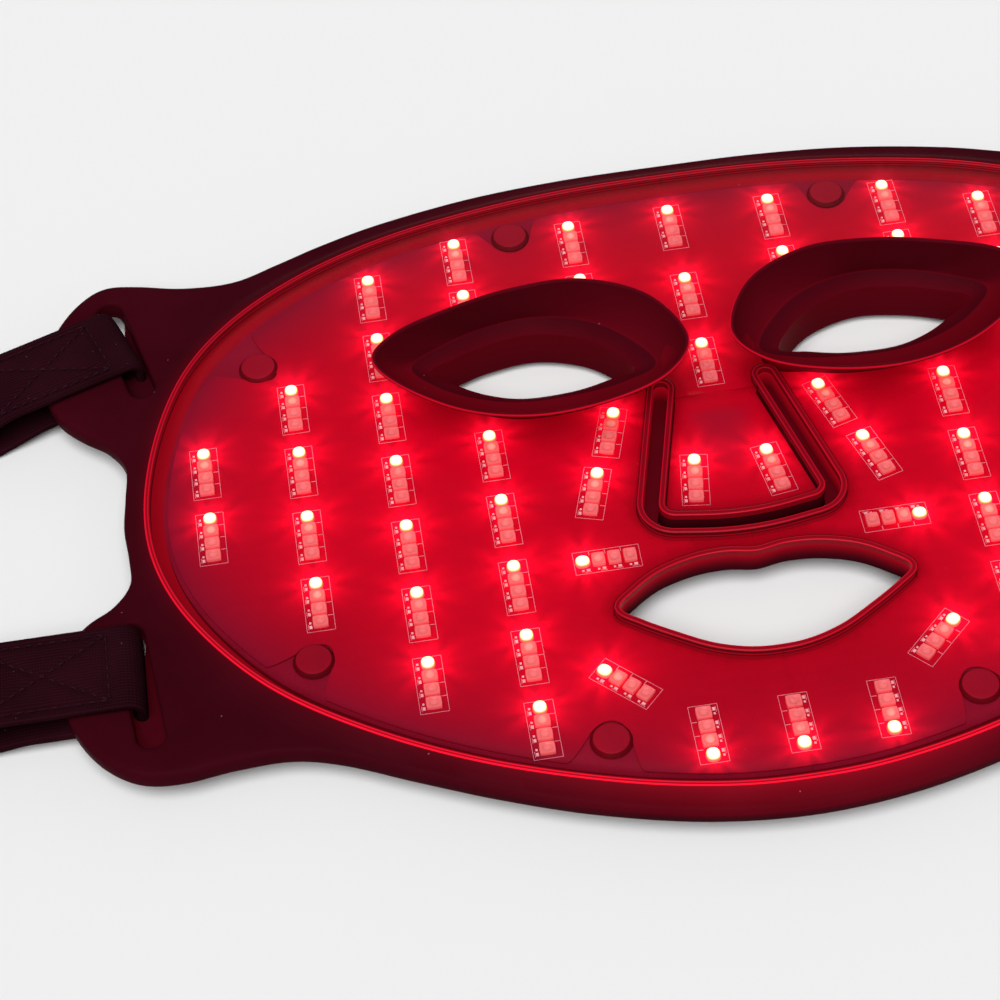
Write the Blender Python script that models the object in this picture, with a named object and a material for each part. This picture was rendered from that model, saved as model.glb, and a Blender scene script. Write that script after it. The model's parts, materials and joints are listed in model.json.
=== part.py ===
"""Flexible light-therapy face mask, lying on its outer side with the face side up.

A soft outer shell carries a foam sheet, a flexible circuit with strips of four-package light
clusters, and a clear window that touches the skin.  Two flared eye cups pass through the stack, a
nose flap hangs on a living hinge inside a U-shaped slot, both cheeks fold about a living hinge,
and two padded straps are looped through the slots of the left tabs.

Lengths below are in millimetres and MM turns them into Blender's metres.  Outline points are
measured from the bridge of the nose, x to the side and y towards the forehead.  The origin is on
the surface that the mask lies on, under the middle of the inlet housing at the chin.
"""

import math

import bmesh
import bpy
import numpy as np
from mathutils import Matrix, Vector

MM = 0.001
NAME = "led_face_mask"

# Plan position and clearances
BRIDGE_Y = 104.0        # bridge of the nose, from the origin
GAP = 0.3               # between neighbouring pieces
FOLD_X = 84.5           # living hinge between the centre and a cheek
COLLAR = 1.4            # wall around the mouth and nose openings
PLAN_CENTRE = (0.0, -33.0)

# Heights above the surface that the mask lies on
UNDER_Z = 5.0           # outer skin
TRAY_Z = 6.8            # floor of the shell's tray
FOAM_Z = (7.1, 8.7)
BOARD_Z = (9.0, 9.3)
TRACK_Z = (9.6, 9.8)
PACKAGE_TOP_Z = 10.3
WINDOW_Z = (10.6, 12.0)
RIM_TOP_Z = 12.0
TAB_TOP_Z = 9.8
CUP_RIM_Z = 24.0

# Light clusters: four packages in a row, the lit one first
PACKAGE = (3.5, 2.8)
PACKAGE_PITCH = 3.5
PACKAGES = 4
CLUSTER_PITCH = 19.0
TRACK_WIDTH = 1.6

# Rivets that pin the circuit to the foam
RIVET_HEAD_R = 4.0
RIVET_SHANK_R = 2.0
RIVET_HEAD_Z = (9.6, 10.2)
RIVET_PLACES = {"brow": (38.7, 43.0), "temple": (102.4, 12.0), "jaw": (98.0, -74.3), "chin": (39.0, -105.6)}

# Strap slots: centre, direction across the slot in degrees, and length
SLOT_WIDTH = 6.2
SLOTS = {"upper": ((-132.8, 23.6), 194.0, 32.0), "lower": ((-135.2, -73.9), 186.0, 33.5)}
# Straps: middle of the fold in the slot, direction of the webbing in degrees, and width
STRAPS = {"upper": ((-133.2, 25.6), 200.0, 20.0), "lower": ((-135.6, -69.9), 180.0, 22.0)}
STRAP_THICK = 2.4
LOOP_LENGTH = 23.0
TAIL_LENGTH = 190.0
PATCH_LENGTH = 55.0
PATCH_THICK = 1.2

# Inlet housing under the chin
HOUSING = (36.0, 17.0)
HOUSING_WALL = 1.5
SOCKET = (9.0, 6.6, 3.2)

# Half outlines, from the forehead's centre down the +x side to the chin's centre
OUTER_HALF = [(0.0, 60.7), (24.0, 60.4), (47.0, 58.4), (69.0, 54.1), (84.0, 49.5), (95.0, 45.2), (106.0, 41.3),
              (118.0, 41.6), (129.0, 44.3), (136.5, 45.0), (142.5, 41.6), (148.0, 34.5), (151.8, 25.0), (152.4, 15.0),
              (149.8, 6.0), (144.5, -0.2), (138.8, -5.0), (135.0, -12.0), (135.5, -21.0), (136.3, -30.0),
              (135.7, -39.0), (135.9, -46.0), (139.8, -51.6), (145.8, -55.6), (150.2, -61.0), (152.2, -69.0),
              (151.4, -78.0), (148.4, -86.0), (143.4, -92.7), (136.6, -97.2), (128.0, -98.3), (117.0, -97.0),
              (105.0, -96.8), (94.0, -99.9), (80.0, -106.5), (63.0, -114.1), (44.0, -121.1), (22.0, -126.6),
              (0.0, -128.6)]
WINDOW_HALF = [(0.0, 54.5), (25.0, 53.8), (48.0, 51.0), (70.0, 46.0), (90.0, 37.8), (107.0, 26.5), (119.5, 12.0),
               (127.5, -7.0), (131.3, -28.0), (129.6, -46.0), (122.0, -63.5), (108.0, -81.5), (89.0, -96.0),
               (66.0, -108.3), (40.0, -117.7), (18.0, -122.6), (0.0, -123.8)]
MOUTH_HALF = [(0.0, -64.1), (6.6, -63.1), (14.0, -63.6), (21.8, -66.0), (28.0, -70.1), (31.7, -74.0), (27.6, -77.8),
              (20.8, -82.4), (13.8, -86.5), (6.6, -88.9), (0.0, -89.5)]
# Corners with the radius of their round
NOSE_HALF = [(9.3, -17.2, 2.5), (9.6, -12.2, 1.8), (13.5, -12.2, 1.8), (23.7, -53.4, 7.0), (0.0, -57.4, 60.0)]
FLAP_HALF = [(10.1, -17.5, 2.4), (19.9, -50.8, 4.5), (0.0, -53.9, 60.0)]

# Right eye, outer corner first and then over the brow; the three loops match point for point
EYE_HOLE = [(63.5, 1.0), (56.5, 4.6), (48.5, 7.2), (38.5, 8.4), (28.5, 5.6), (21.5, 0.4), (16.8, -6.8),
            (23.0, -8.8), (31.5, -10.8), (42.5, -11.0), (50.5, -8.6), (57.5, -4.2)]
EYE_CREASE = [(67.5, 1.5), (59.0, 7.0), (48.5, 10.6), (37.5, 11.6), (26.5, 8.8), (18.0, 2.4), (11.8, -7.6),
              (20.0, -12.2), (31.5, -14.0), (43.5, -14.0), (54.0, -11.0), (62.5, -5.8)]
EYE_RIM = [(76.5, -3.0), (70.0, 4.3), (57.0, 9.4), (42.0, 12.9), (26.0, 12.8), (11.5, 5.0), (4.6, -9.5),
           (10.8, -20.0), (25.0, -25.8), (42.0, -27.2), (58.0, -22.6), (71.5, -12.3)]
CUP_WALL = 3.5
FLANGE = 6.5


# ---------------------------------------------------------------- outlines

def both_sides(half):
    """Close a half outline with its mirror image in x."""
    return half + [(-x, *rest) for x, *rest in reversed(half) if x > 0.0]


def smooth(points, steps=4):
    """Closed Catmull-Rom curve through the points."""
    points = np.array(points)
    count = len(points)
    out = []
    for i in range(count):
        before, here, after, beyond = (points[(i + k) % count] for k in (-1, 0, 1, 2))
        for t in np.arange(steps) / steps:
            linear = (after - before) * t
            square = (2.0 * before - 5.0 * here + 4.0 * after - beyond) * t ** 2
            cubic = (3.0 * here - before - 3.0 * after + beyond) * t ** 3
            out.append(0.5 * (2.0 * here + linear + square + cubic))
    return np.array(out)


def filleted(corners, steps=3):
    """Closed outline whose corners (x, y, radius) are rounded with arcs."""
    out = []
    count = len(corners)
    for i, (x, y, radius) in enumerate(corners):
        corner = Vector((x, y))
        back = (Vector(corners[i - 1][:2]) - corner).normalized()
        ahead = (Vector(corners[(i + 1) % count][:2]) - corner).normalized()
        half_angle = back.angle(ahead) / 2.0
        centre = corner + (back + ahead).normalized() * (radius / math.sin(half_angle))
        start = corner + back * (radius / math.tan(half_angle)) - centre
        sweep = start.angle_signed(corner + ahead * (radius / math.tan(half_angle)) - centre)
        for k in range(steps + 1):
            out.append(centre + Matrix.Rotation(-sweep * k / steps, 2) @ start)
    return np.array(out)


def offset(loop, distance):
    """Move a closed outline outwards, or inwards when distance is negative."""
    along = np.roll(loop, -1, axis=0) - np.roll(loop, 1, axis=0)
    along /= np.linalg.norm(along, axis=1)[:, None]
    turning = np.sum(loop[:, 0] * np.roll(loop[:, 1], -1) - np.roll(loop[:, 0], -1) * loop[:, 1])
    outwards = np.stack([along[:, 1], -along[:, 0]], axis=1) * math.copysign(1.0, turning)
    return loop + outwards * distance


def radius_along(loop, angles):
    """Distance from the plan's centre to a star-shaped outline at each angle."""
    arm = loop - np.array(PLAN_CENTRE)
    found = np.arctan2(arm[:, 1], arm[:, 0])
    order = np.argsort(found)
    return np.interp(angles, found[order], np.hypot(arm[:, 0], arm[:, 1])[order], period=2.0 * math.pi)


def circle(x, y, radius, sides=12):
    """Round outline."""
    turn = np.arange(sides) * 2.0 * math.pi / sides
    return np.stack([x + radius * np.cos(turn), y + radius * np.sin(turn)], axis=1)


def slot_outline(centre, heading, length, width, steps=5):
    """Round-ended slot across a heading."""
    turn = np.linspace(0.0, math.pi, steps + 1)
    end = np.stack([width / 2.0 * np.cos(turn), (length - width) / 2.0 + width / 2.0 * np.sin(turn)], axis=1)
    across = math.radians(heading)
    spin = np.array([[math.cos(across), -math.sin(across)], [math.sin(across), math.cos(across)]])
    return np.concatenate([end, -end]) @ spin.T + np.array(centre)


OUTER = smooth(both_sides(OUTER_HALF), 2)
WINDOW = smooth(both_sides(WINDOW_HALF), 2)
MOUTH = smooth(both_sides(MOUTH_HALF), 2)
NOSE = filleted(both_sides(NOSE_HALF))
FLAP = filleted(both_sides(FLAP_HALF))


# ---------------------------------------------------------------- objects

def clear_scene():
    """Start from an empty scene."""
    for obj in list(bpy.data.objects):
        bpy.data.objects.remove(obj)


def collection(name):
    """New collection in the scene."""
    made = bpy.data.collections.new(name)
    bpy.context.scene.collection.children.link(made)
    return made


def material(name, colour, roughness, metallic=0.0, alpha=1.0):
    """Principled material."""
    made = bpy.data.materials.new(name)
    made.use_nodes = True
    shader = made.node_tree.nodes["Principled BSDF"]
    shader.inputs["Base Color"].default_value = (*colour, 1.0)
    shader.inputs["Roughness"].default_value = roughness
    shader.inputs["Metallic"].default_value = metallic
    shader.inputs["Alpha"].default_value = alpha
    return made


def mesh_object(name, bm, paint, smooth_angle=35.0):
    """Finish a bmesh in mask millimetres as a named object in metres."""
    bmesh.ops.transform(bm, matrix=Matrix.Translation((0.0, BRIDGE_Y, 0.0)), verts=bm.verts)
    bmesh.ops.scale(bm, vec=(MM, MM, MM), verts=bm.verts)
    bmesh.ops.recalc_face_normals(bm, faces=bm.faces)
    mesh = bpy.data.meshes.new(name)
    bm.to_mesh(mesh)
    bm.free()
    mesh.shade_smooth()
    mesh.set_sharp_from_angle(angle=math.radians(smooth_angle))
    obj = bpy.data.objects.new(name, mesh)
    if paint is None:
        obj.hide_render = True
        obj.display_type = "WIRE"
        cutters.objects.link(obj)
    else:
        mesh.materials.append(paint)
        parts.objects.link(obj)
    return obj


def add_loop(bm, loop, z):
    """Ring of vertices at one height, or at a height for each point."""
    return [bm.verts.new((x, y, height)) for (x, y), height in zip(loop, np.broadcast_to(z, len(loop)))]


def bridge(bm, lower, upper):
    """Band of quads between two matching rings."""
    count = len(lower)
    for i in range(count):
        k = (i + 1) % count
        bm.faces.new((lower[i], lower[k], upper[k], upper[i]))


def stack(name, sections, paint):
    """Solid lofted through (outline, height) sections, closed with a face at each end."""
    bm = bmesh.new()
    rings = [add_loop(bm, loop, z) for loop, z in sections]
    for lower, upper in zip(rings, rings[1:]):
        bridge(bm, lower, upper)
    bm.faces.new(rings[0])
    bm.faces.new(rings[-1])
    return mesh_object(name, bm, paint)


def tube(name, sections, paint):
    """Ring-shaped solid lofted through sections that close on the first one."""
    bm = bmesh.new()
    rings = [add_loop(bm, loop, z) for loop, z in sections]
    for lower, upper in zip(rings, rings[1:] + rings[:1]):
        bridge(bm, lower, upper)
    return mesh_object(name, bm, paint)


def plate(name, loops, heights, paint):
    """Flat sheet with the first outline as its edge and the others as holes."""
    low, high = heights
    curve = bpy.data.curves.new(name + "_outline", "CURVE")
    curve.dimensions = "2D"
    curve.fill_mode = "BOTH"
    curve.extrude = (high - low) / 2.0
    for loop in loops:
        spline = curve.splines.new("POLY")
        spline.points.add(len(loop) - 1)
        spline.use_cyclic_u = True
        for point, (x, y) in zip(spline.points, loop):
            point.co = (x, y, 0.0, 1.0)
    outline = bpy.data.objects.new(name + "_outline", curve)
    parts.objects.link(outline)
    filled = bpy.data.meshes.new_from_object(outline.evaluated_get(bpy.context.evaluated_depsgraph_get()))
    bpy.data.objects.remove(outline)
    bm = bmesh.new()
    bm.from_mesh(filled)
    bpy.data.meshes.remove(filled)
    bmesh.ops.remove_doubles(bm, verts=bm.verts, dist=0.001)
    bmesh.ops.translate(bm, vec=(0.0, 0.0, (low + high) / 2.0), verts=bm.verts)
    return mesh_object(name, bm, paint)


def extruded(name, profile, place, width, paint):
    """Side profile (run, height) extruded across a width; place is its start and its heading in degrees."""
    centre, heading = place
    bm = bmesh.new()
    edge = [bm.verts.new((run, -width / 2.0, z)) for run, z in profile]
    face = bm.faces.new(edge)
    grown = bmesh.ops.extrude_face_region(bm, geom=[face])
    moved = [item for item in grown["geom"] if isinstance(item, bmesh.types.BMVert)]
    bmesh.ops.translate(bm, vec=(0.0, width, 0.0), verts=moved)
    turn = Matrix.Translation((*centre, 0.0)) @ Matrix.Rotation(math.radians(heading), 4, "Z")
    bmesh.ops.transform(bm, matrix=turn, verts=bm.verts)
    return mesh_object(name, bm, paint)


def box(bm, centre, size, heading=0.0):
    """Add a box, turned about the vertical."""
    place = Matrix.Translation(centre) @ Matrix.Rotation(math.radians(heading), 4, "Z")
    bmesh.ops.create_cube(bm, size=1.0, matrix=place @ Matrix.Diagonal((*size, 1.0)))


def cutter(name, centre, size):
    """Box-shaped cutter."""
    bm = bmesh.new()
    box(bm, centre, size)
    return mesh_object(name, bm, None)


def boolean(obj, other, operation="DIFFERENCE"):
    """Exact Boolean with another object."""
    modifier = obj.modifiers.new(other.name, "BOOLEAN")
    modifier.operation = operation
    modifier.object = other


def copy_of(obj, name):
    """Second object on the same mesh, with the same modifiers."""
    made = bpy.data.objects.new(name, obj.data)
    parts.objects.link(made)
    for modifier in obj.modifiers:
        boolean(made, modifier.object, modifier.operation)
    return made


def in_three(obj):
    """Split a panel at both living hinges: the object stays the centre, its copies are the cheeks."""
    for side, name in (("left", obj.name + "_left"), ("right", obj.name + "_right")):
        boolean(copy_of(obj, name), zones[side], "INTERSECT")
    boolean(obj, zones["centre"], "INTERSECT")


# ---------------------------------------------------------------- shell, sheets and window

def eye_loop(points, side, steps=2):
    """Outline around one eye: side is 1 on the right and -1 on the left."""
    loop = smooth(points, steps)
    return loop * np.array([side, 1.0])


def collar(name, loop, inner_grow, paint):
    """Wall around an opening, wider underneath, that joins the shell's tray."""
    return tube(name, [(offset(loop, inner_grow), UNDER_Z), (loop, UNDER_Z + 2.0), (loop, RIM_TOP_Z),
                       (offset(loop, COLLAR), RIM_TOP_Z), (offset(loop, COLLAR), TRAY_Z - 0.4),
                       (offset(loop, COLLAR + 1.0), UNDER_Z)], paint)


def make_shell():
    """Tray with a sloping rim, four strap tabs and a collar around the mouth and the nose flap."""
    arm = OUTER - np.array(PLAN_CENTRE)
    angles = np.arctan2(arm[:, 1], arm[:, 0])
    outer_r = np.hypot(arm[:, 0], arm[:, 1])
    window_r = radius_along(WINDOW, angles)

    def ring(radius):
        return np.stack([radius * np.cos(angles), radius * np.sin(angles)], axis=1) + np.array(PLAN_CENTRE)

    reach = outer_r - window_r
    shoulder_r = window_r + np.minimum(0.55 * reach, 7.0)
    shoulder_z = TAB_TOP_Z + 0.1 + 0.5 * np.clip((12.0 - reach) / 7.0, 0.0, 1.0)
    shell = stack("outer_shell", [
        (ring(window_r), TRAY_Z), (ring(window_r), RIM_TOP_Z), (ring(shoulder_r), shoulder_z),
        (offset(OUTER, -1.2), TAB_TOP_Z), (offset(OUTER, -0.3), TAB_TOP_Z - 0.4), (OUTER, TAB_TOP_Z - 1.3),
        (OUTER, UNDER_Z + 1.0), (offset(OUTER, -0.8), UNDER_Z)], silicone)
    below, above = UNDER_Z - 3.0, RIM_TOP_Z + 3.0
    for side in (1, -1):
        hole = offset(eye_loop(EYE_HOLE, side), CUP_WALL + GAP)
        boolean(shell, stack(f"eye_cut_{side}", [(hole, below), (hole, above)], None))
    mouth_collar = collar("mouth_collar", MOUTH, 1.2, None)
    nose_collar = collar("nose_collar", NOSE, 0.2, None)
    for name, loop, wall in (("mouth_cut", MOUTH, mouth_collar), ("nose_cut", NOSE, nose_collar)):
        middle = offset(loop, COLLAR / 2.0)
        boolean(shell, stack(name, [(middle, below), (middle, above)], None))
        boolean(shell, wall, "UNION")
    for name, (centre, heading, length) in SLOTS.items():
        for side in (1, -1):
            loop = slot_outline(centre, heading, length, SLOT_WIDTH) * np.array([side, 1.0])
            boolean(shell, stack(f"{name}_slot_cut_{side}", [(loop, below), (loop, above)], None))
    lead_hole = circle(0.0, -BRIDGE_Y, 2.5)
    boolean(shell, stack("lead_cut", [(lead_hole, below), (lead_hole, TRAY_Z + 1.0)], None))
    in_three(shell)


def sheet_loops(edge, clearance):
    """Edge and openings of a sheet in the tray."""
    loops = [offset(WINDOW, -edge), offset(MOUTH, COLLAR + clearance), offset(NOSE, COLLAR + clearance)]
    return loops + [offset(eye_loop(EYE_HOLE, side), CUP_WALL + clearance) for side in (1, -1)]


def rivet_spots():
    """Name and place of each rivet."""
    return [(f"rivet_{name}_{label}", side * x, y) for name, (x, y) in RIVET_PLACES.items()
            for label, side in (("left", -1), ("right", 1))]


def make_sheets():
    """Foam sheet, flexible circuit and clear window."""
    rivet_holes = [circle(x, y, RIVET_SHANK_R + GAP) for _, x, y in rivet_spots()]
    in_three(plate("foam_sheet", sheet_loops(4.0, 0.6), FOAM_Z, foam))
    in_three(plate("flex_circuit", sheet_loops(4.5, 0.5) + rivet_holes, BOARD_Z, circuit))
    in_three(plate("clear_window", sheet_loops(GAP, GAP), WINDOW_Z, clear))


def make_rivets():
    """Mushroom rivets through the circuit, seated on the foam."""
    for name, x, y in rivet_spots():
        stack(name, [(circle(x, y, RIVET_SHANK_R), FOAM_Z[1] + 0.1), (circle(x, y, RIVET_SHANK_R), RIVET_HEAD_Z[0]),
                     (circle(x, y, RIVET_HEAD_R), RIVET_HEAD_Z[0]), (circle(x, y, RIVET_HEAD_R), RIVET_HEAD_Z[1])],
              silicone)


def make_flap():
    """Nose flap: a small tray of its own with its circuit and window."""
    wall = offset(FLAP, -1.6)
    stack("flap_shell", [(wall, BOARD_Z[0] - GAP), (wall, RIM_TOP_Z), (offset(FLAP, -0.5), RIM_TOP_Z),
                         (FLAP, RIM_TOP_Z - 0.6), (FLAP, UNDER_Z + 0.6), (offset(FLAP, -0.6), UNDER_Z)], silicone)
    plate("flap_circuit", [offset(FLAP, -2.1)], BOARD_Z, circuit)
    plate("flap_window", [offset(FLAP, -1.6 - GAP)], WINDOW_Z, clear)


def make_eye_cup(label, side):
    """Flared cup around one eye, with a grommet flange under the shell."""
    hole = eye_loop(EYE_HOLE, side)
    crease = eye_loop(EYE_CREASE, side)
    rim = eye_loop(EYE_RIM, side)
    neck = offset(hole, CUP_WALL)
    sections = [(offset(hole, FLANGE - 0.8), 0.0), (offset(hole, FLANGE), 0.8), (offset(hole, FLANGE), UNDER_Z - GAP),
                (neck, UNDER_Z - GAP), (neck, WINDOW_Z[1] + GAP)]
    for share, height in ((0.30, 0.30), (0.68, 0.68)):
        sections.append((neck + (offset(rim, -0.4) - neck) * share,
                         WINDOW_Z[1] + GAP + (CUP_RIM_Z - 1.0 - WINDOW_Z[1]) * height))
    sections += [(offset(rim, -0.2), CUP_RIM_Z - 0.9), (offset(rim, -0.4), CUP_RIM_Z), (offset(rim, -1.2), CUP_RIM_Z),
                 (crease, WINDOW_Z[1] + 2.0), (hole, WINDOW_Z[1]), (hole, 2.0), (offset(hole, 2.5), 0.0)]
    tube(f"eye_cup_{label}", sections, silicone)


# ---------------------------------------------------------------- lights

def every_pitch(top_y, count):
    """Places of clusters one under the other."""
    return [top_y - CLUSTER_PITCH * i for i in range(count)]


# Straight columns: x, and the y of each cluster's lit package, from which the row runs towards the chin
SIDE_COLUMNS = {
    "led_brow_inner": (24.4, (43.4, 25.6)),
    "led_brow_outer": (52.4, (42.7, 25.6)),
    "led_cheek_inner": (52.4, every_pitch(-19.0, 5)),
    "led_cheek_middle": (74.1, every_pitch(34.6, 7)),
    "led_cheek_outer": (95.5, every_pitch(3.2, 4)),
    "led_temple": (117.0, every_pitch(-12.4, 2)),
}
CENTRE_COLUMN = (0.0, (44.3, 21.3, 0.0))
# Bent strips, cluster by cluster: lit package's x and y, direction of the row in degrees, and
# whether the track meets the row's far end first
SIDE_STRIPS = {
    "led_nose_side": [(23.7, -17.4, -73.0, False), (30.2, -34.3, -73.0, False)],
    "led_mouth_side": [(37.4, -58.4, 180.0, True), (37.5, -88.1, -136.0, False)],
}
MIDDLE_STRIPS = {
    "led_chin": [(-19.0, -113.0, 90.0, False), (0.0, -113.4, 90.0, True), (19.0, -113.0, 90.0, False)],
    "led_flap": [(-8.2, -34.4, -98.0, False), (8.2, -34.4, -82.0, True)],
}


def make_column(name, x, lit_y):
    """Straight strip of clusters: a side profile with a tooth for each package, as wide as a package."""
    half = PACKAGE[1] / 2.0
    spots = [PACKAGE_PITCH * i - y for y in lit_y for i in range(PACKAGES)]
    profile = [(spots[0] - half, TRACK_Z[0])]
    for spot in spots:
        profile += [(spot - half, TRACK_Z[1]), (spot - half, PACKAGE_TOP_Z),
                    (spot + half, PACKAGE_TOP_Z), (spot + half, TRACK_Z[1])]
    profile += [(spots[-1] + half, TRACK_Z[0])]
    del profile[1], profile[-2]
    extruded(name, profile, ((x, 0.0), -90.0), PACKAGE[0], package)


def band(path, width):
    """Outline of a flat track along a path."""
    path = np.array(path)
    step = np.diff(path, axis=0)
    step /= np.linalg.norm(step, axis=1)[:, None]
    before = np.vstack([step[:1], step])
    after = np.vstack([step, step[-1:]])
    middle = before + after
    middle /= np.linalg.norm(middle, axis=1)[:, None]
    reach = width / 2.0 / np.sum(middle * after, axis=1)
    across = np.stack([-middle[:, 1], middle[:, 0]], axis=1) * reach[:, None]
    return np.vstack([path + across, (path - across)[::-1]])


def make_strip(name, clusters):
    """Bent strip of clusters on one narrow track, as one solid."""
    path = []
    bm = bmesh.new()
    for x, y, heading, end_first in clusters:
        along = np.array([math.cos(math.radians(heading)), math.sin(math.radians(heading))])
        spots = [np.array([x, y]) + along * PACKAGE_PITCH * i for i in range(PACKAGES)]
        path += [spots[-1], spots[0]] if end_first else [spots[0], spots[-1]]
        middle_z = (TRACK_Z[0] + 0.1 + PACKAGE_TOP_Z) / 2.0
        for spot in spots:
            box(bm, (*spot, middle_z), (*PACKAGE, PACKAGE_TOP_Z - TRACK_Z[0] - 0.1), heading + 90.0)
    packages = mesh_object(name + "_packages", bm, None)
    track = plate(name, [band(path, TRACK_WIDTH)], TRACK_Z, package)
    boolean(track, packages, "UNION")


def make_all_lights():
    """Every strip of lights."""
    make_column("led_centre", *CENTRE_COLUMN)
    for name, (x, lit_y) in SIDE_COLUMNS.items():
        make_column(name + "_right", x, lit_y)
        make_column(name + "_left", -x, lit_y)
    for name, clusters in MIDDLE_STRIPS.items():
        make_strip(name, clusters)
    for name, clusters in SIDE_STRIPS.items():
        make_strip(name + "_right", clusters)
        mirrored = [(-x, y, 180.0 - heading, end_first) for x, y, heading, end_first in clusters]
        make_strip(name + "_left", mirrored)


# ---------------------------------------------------------------- inlet

def make_inlet():
    """Housing under the chin with its socket and driver board; the lead itself isn't part of the mask."""
    width, depth = HOUSING
    corners = [(sx * width / 2.0, -BRIDGE_Y + sy * depth / 2.0, 3.0)
               for sx, sy in ((-1, -1), (1, -1), (1, 1), (-1, 1))]
    outline = filleted(corners)
    top = UNDER_Z - GAP
    housing = stack("inlet_housing", [(offset(outline, -0.8), 0.0), (outline, 0.8), (outline, top)], silicone)
    socket_y = -BRIDGE_Y - depth / 2.0 + SOCKET[1] / 2.0
    middle_z = top / 2.0
    boolean(housing, cutter("housing_pocket", (0.0, -BRIDGE_Y + 2.8, 3.6),
                            (width - 2.0 * HOUSING_WALL, depth - 2.0 * HOUSING_WALL - 5.2, 4.4)))
    boolean(housing, cutter("socket_mouth", (0.0, socket_y - 0.5, middle_z),
                            (SOCKET[0] + 2.0 * GAP, SOCKET[1] + 1.6, SOCKET[2] + 2.0 * GAP)))
    bm = bmesh.new()
    box(bm, (0.0, socket_y, middle_z), SOCKET)
    socket = mesh_object("inlet_socket", bm, metal)
    boolean(socket, cutter("socket_bore", (0.0, socket_y - 1.0, middle_z),
                           (SOCKET[0] - 0.8, SOCKET[1], SOCKET[2] - 0.8)))
    bm = bmesh.new()
    box(bm, (0.0, -BRIDGE_Y + 2.8, 2.1), (width - 5.0, 7.0, 0.8))
    board = mesh_object("driver_board", bm, circuit)
    bm = bmesh.new()
    for x, size in ((-9.0, 4.0), (0.5, 3.2), (9.5, 4.4)):
        box(bm, (x, -BRIDGE_Y + 2.8, 3.0), (size, size, 1.4))
    boolean(board, mesh_object("board_chips", bm, None), "UNION")


# ---------------------------------------------------------------- straps

def rounded_run(corners):
    """Side profile with rounded corners, as run and height pairs."""
    return [(float(x), float(z)) for x, z in filleted(corners, 3)]


def make_strap(label):
    """Loop around the tab's bar, the tail that swings, and the hook patch at its free end."""
    centre, heading, width = STRAPS[label]
    top = TAB_TOP_Z + GAP
    under = UNDER_Z - GAP
    fold = -STRAP_THICK / 2.0
    inner = STRAP_THICK / 2.0
    loop = rounded_run([(LOOP_LENGTH, top, 0.2), (LOOP_LENGTH, top + STRAP_THICK, 0.2),
                        (fold, top + STRAP_THICK, 2.2), (fold, under - STRAP_THICK, 2.2),
                        (LOOP_LENGTH, under - STRAP_THICK, 0.2), (LOOP_LENGTH, under, 0.2),
                        (inner, under, 0.4), (inner, top, 0.4)])
    extruded(f"strap_{label}_loop", loop, (centre, heading), width, knit)
    start = LOOP_LENGTH + GAP
    joined = start + 13.0
    end = start + TAIL_LENGTH
    tail = rounded_run([(start, top, 0.2), (start, top + STRAP_THICK, 0.2), (joined, 2.0 * STRAP_THICK + 0.2, 12.0),
                        (joined + 28.0, 2.0 * STRAP_THICK, 4.0), (joined + 31.0, STRAP_THICK, 2.0),
                        (end, STRAP_THICK, 0.8), (end, 0.0, 0.8), (joined, 0.0, 12.0),
                        (start, under - STRAP_THICK, 0.2), (start, under, 0.2), (joined - 3.5, STRAP_THICK + 0.1, 0.6)])
    extruded(f"strap_{label}_tail", tail, (centre, heading), width, knit)
    patch_low = STRAP_THICK + GAP
    patch = rounded_run([(end - 4.0 - PATCH_LENGTH, patch_low, 0.2),
                         (end - 4.0 - PATCH_LENGTH, patch_low + PATCH_THICK, 0.4),
                         (end - 4.0, patch_low + PATCH_THICK, 0.4), (end - 4.0, patch_low, 0.2)])
    extruded(f"strap_{label}_hook_patch", patch, (centre, heading), width - 3.0, hook)


clear_scene()
parts = collection(NAME)
cutters = collection(NAME + "_cutters")

silicone = material("silicone", (0.10, 0.008, 0.016), 0.42)
clear = material("clear_silicone", (0.62, 0.03, 0.08), 0.12, alpha=0.35)
circuit = material("circuit", (0.45, 0.01, 0.03), 0.4)
package = material("led_package", (0.95, 0.45, 0.45), 0.35)
foam = material("foam", (0.12, 0.02, 0.025), 0.9)
metal = material("socket_metal", (0.6, 0.6, 0.62), 0.3, 1.0)
knit = material("knit", (0.035, 0.012, 0.018), 0.95)
hook = material("hook", (0.02, 0.012, 0.014), 0.9)

WIDE = 400.0
zones = {
    "centre": cutter("centre_zone", (0.0, 0.0, 0.0), (2.0 * FOLD_X - GAP, WIDE, WIDE)),
    "right": cutter("right_zone", (FOLD_X + GAP / 2.0 + WIDE / 2.0, 0.0, 0.0), (WIDE, WIDE, WIDE)),
    "left": cutter("left_zone", (-FOLD_X - GAP / 2.0 - WIDE / 2.0, 0.0, 0.0), (WIDE, WIDE, WIDE)),
}

make_shell()
make_sheets()
make_rivets()
make_flap()
for eye_label, eye_side in (("right", 1), ("left", -1)):
    make_eye_cup(eye_label, eye_side)
make_all_lights()
make_inlet()
for strap_label in STRAPS:
    make_strap(strap_label)
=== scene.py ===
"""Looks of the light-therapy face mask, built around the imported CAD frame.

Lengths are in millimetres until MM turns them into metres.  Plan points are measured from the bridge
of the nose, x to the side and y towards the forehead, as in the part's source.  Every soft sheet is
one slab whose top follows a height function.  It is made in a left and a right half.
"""

import json
import math

import bmesh
import bpy
import numpy as np
from mathutils import Matrix, Vector, geometry, kdtree


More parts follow.
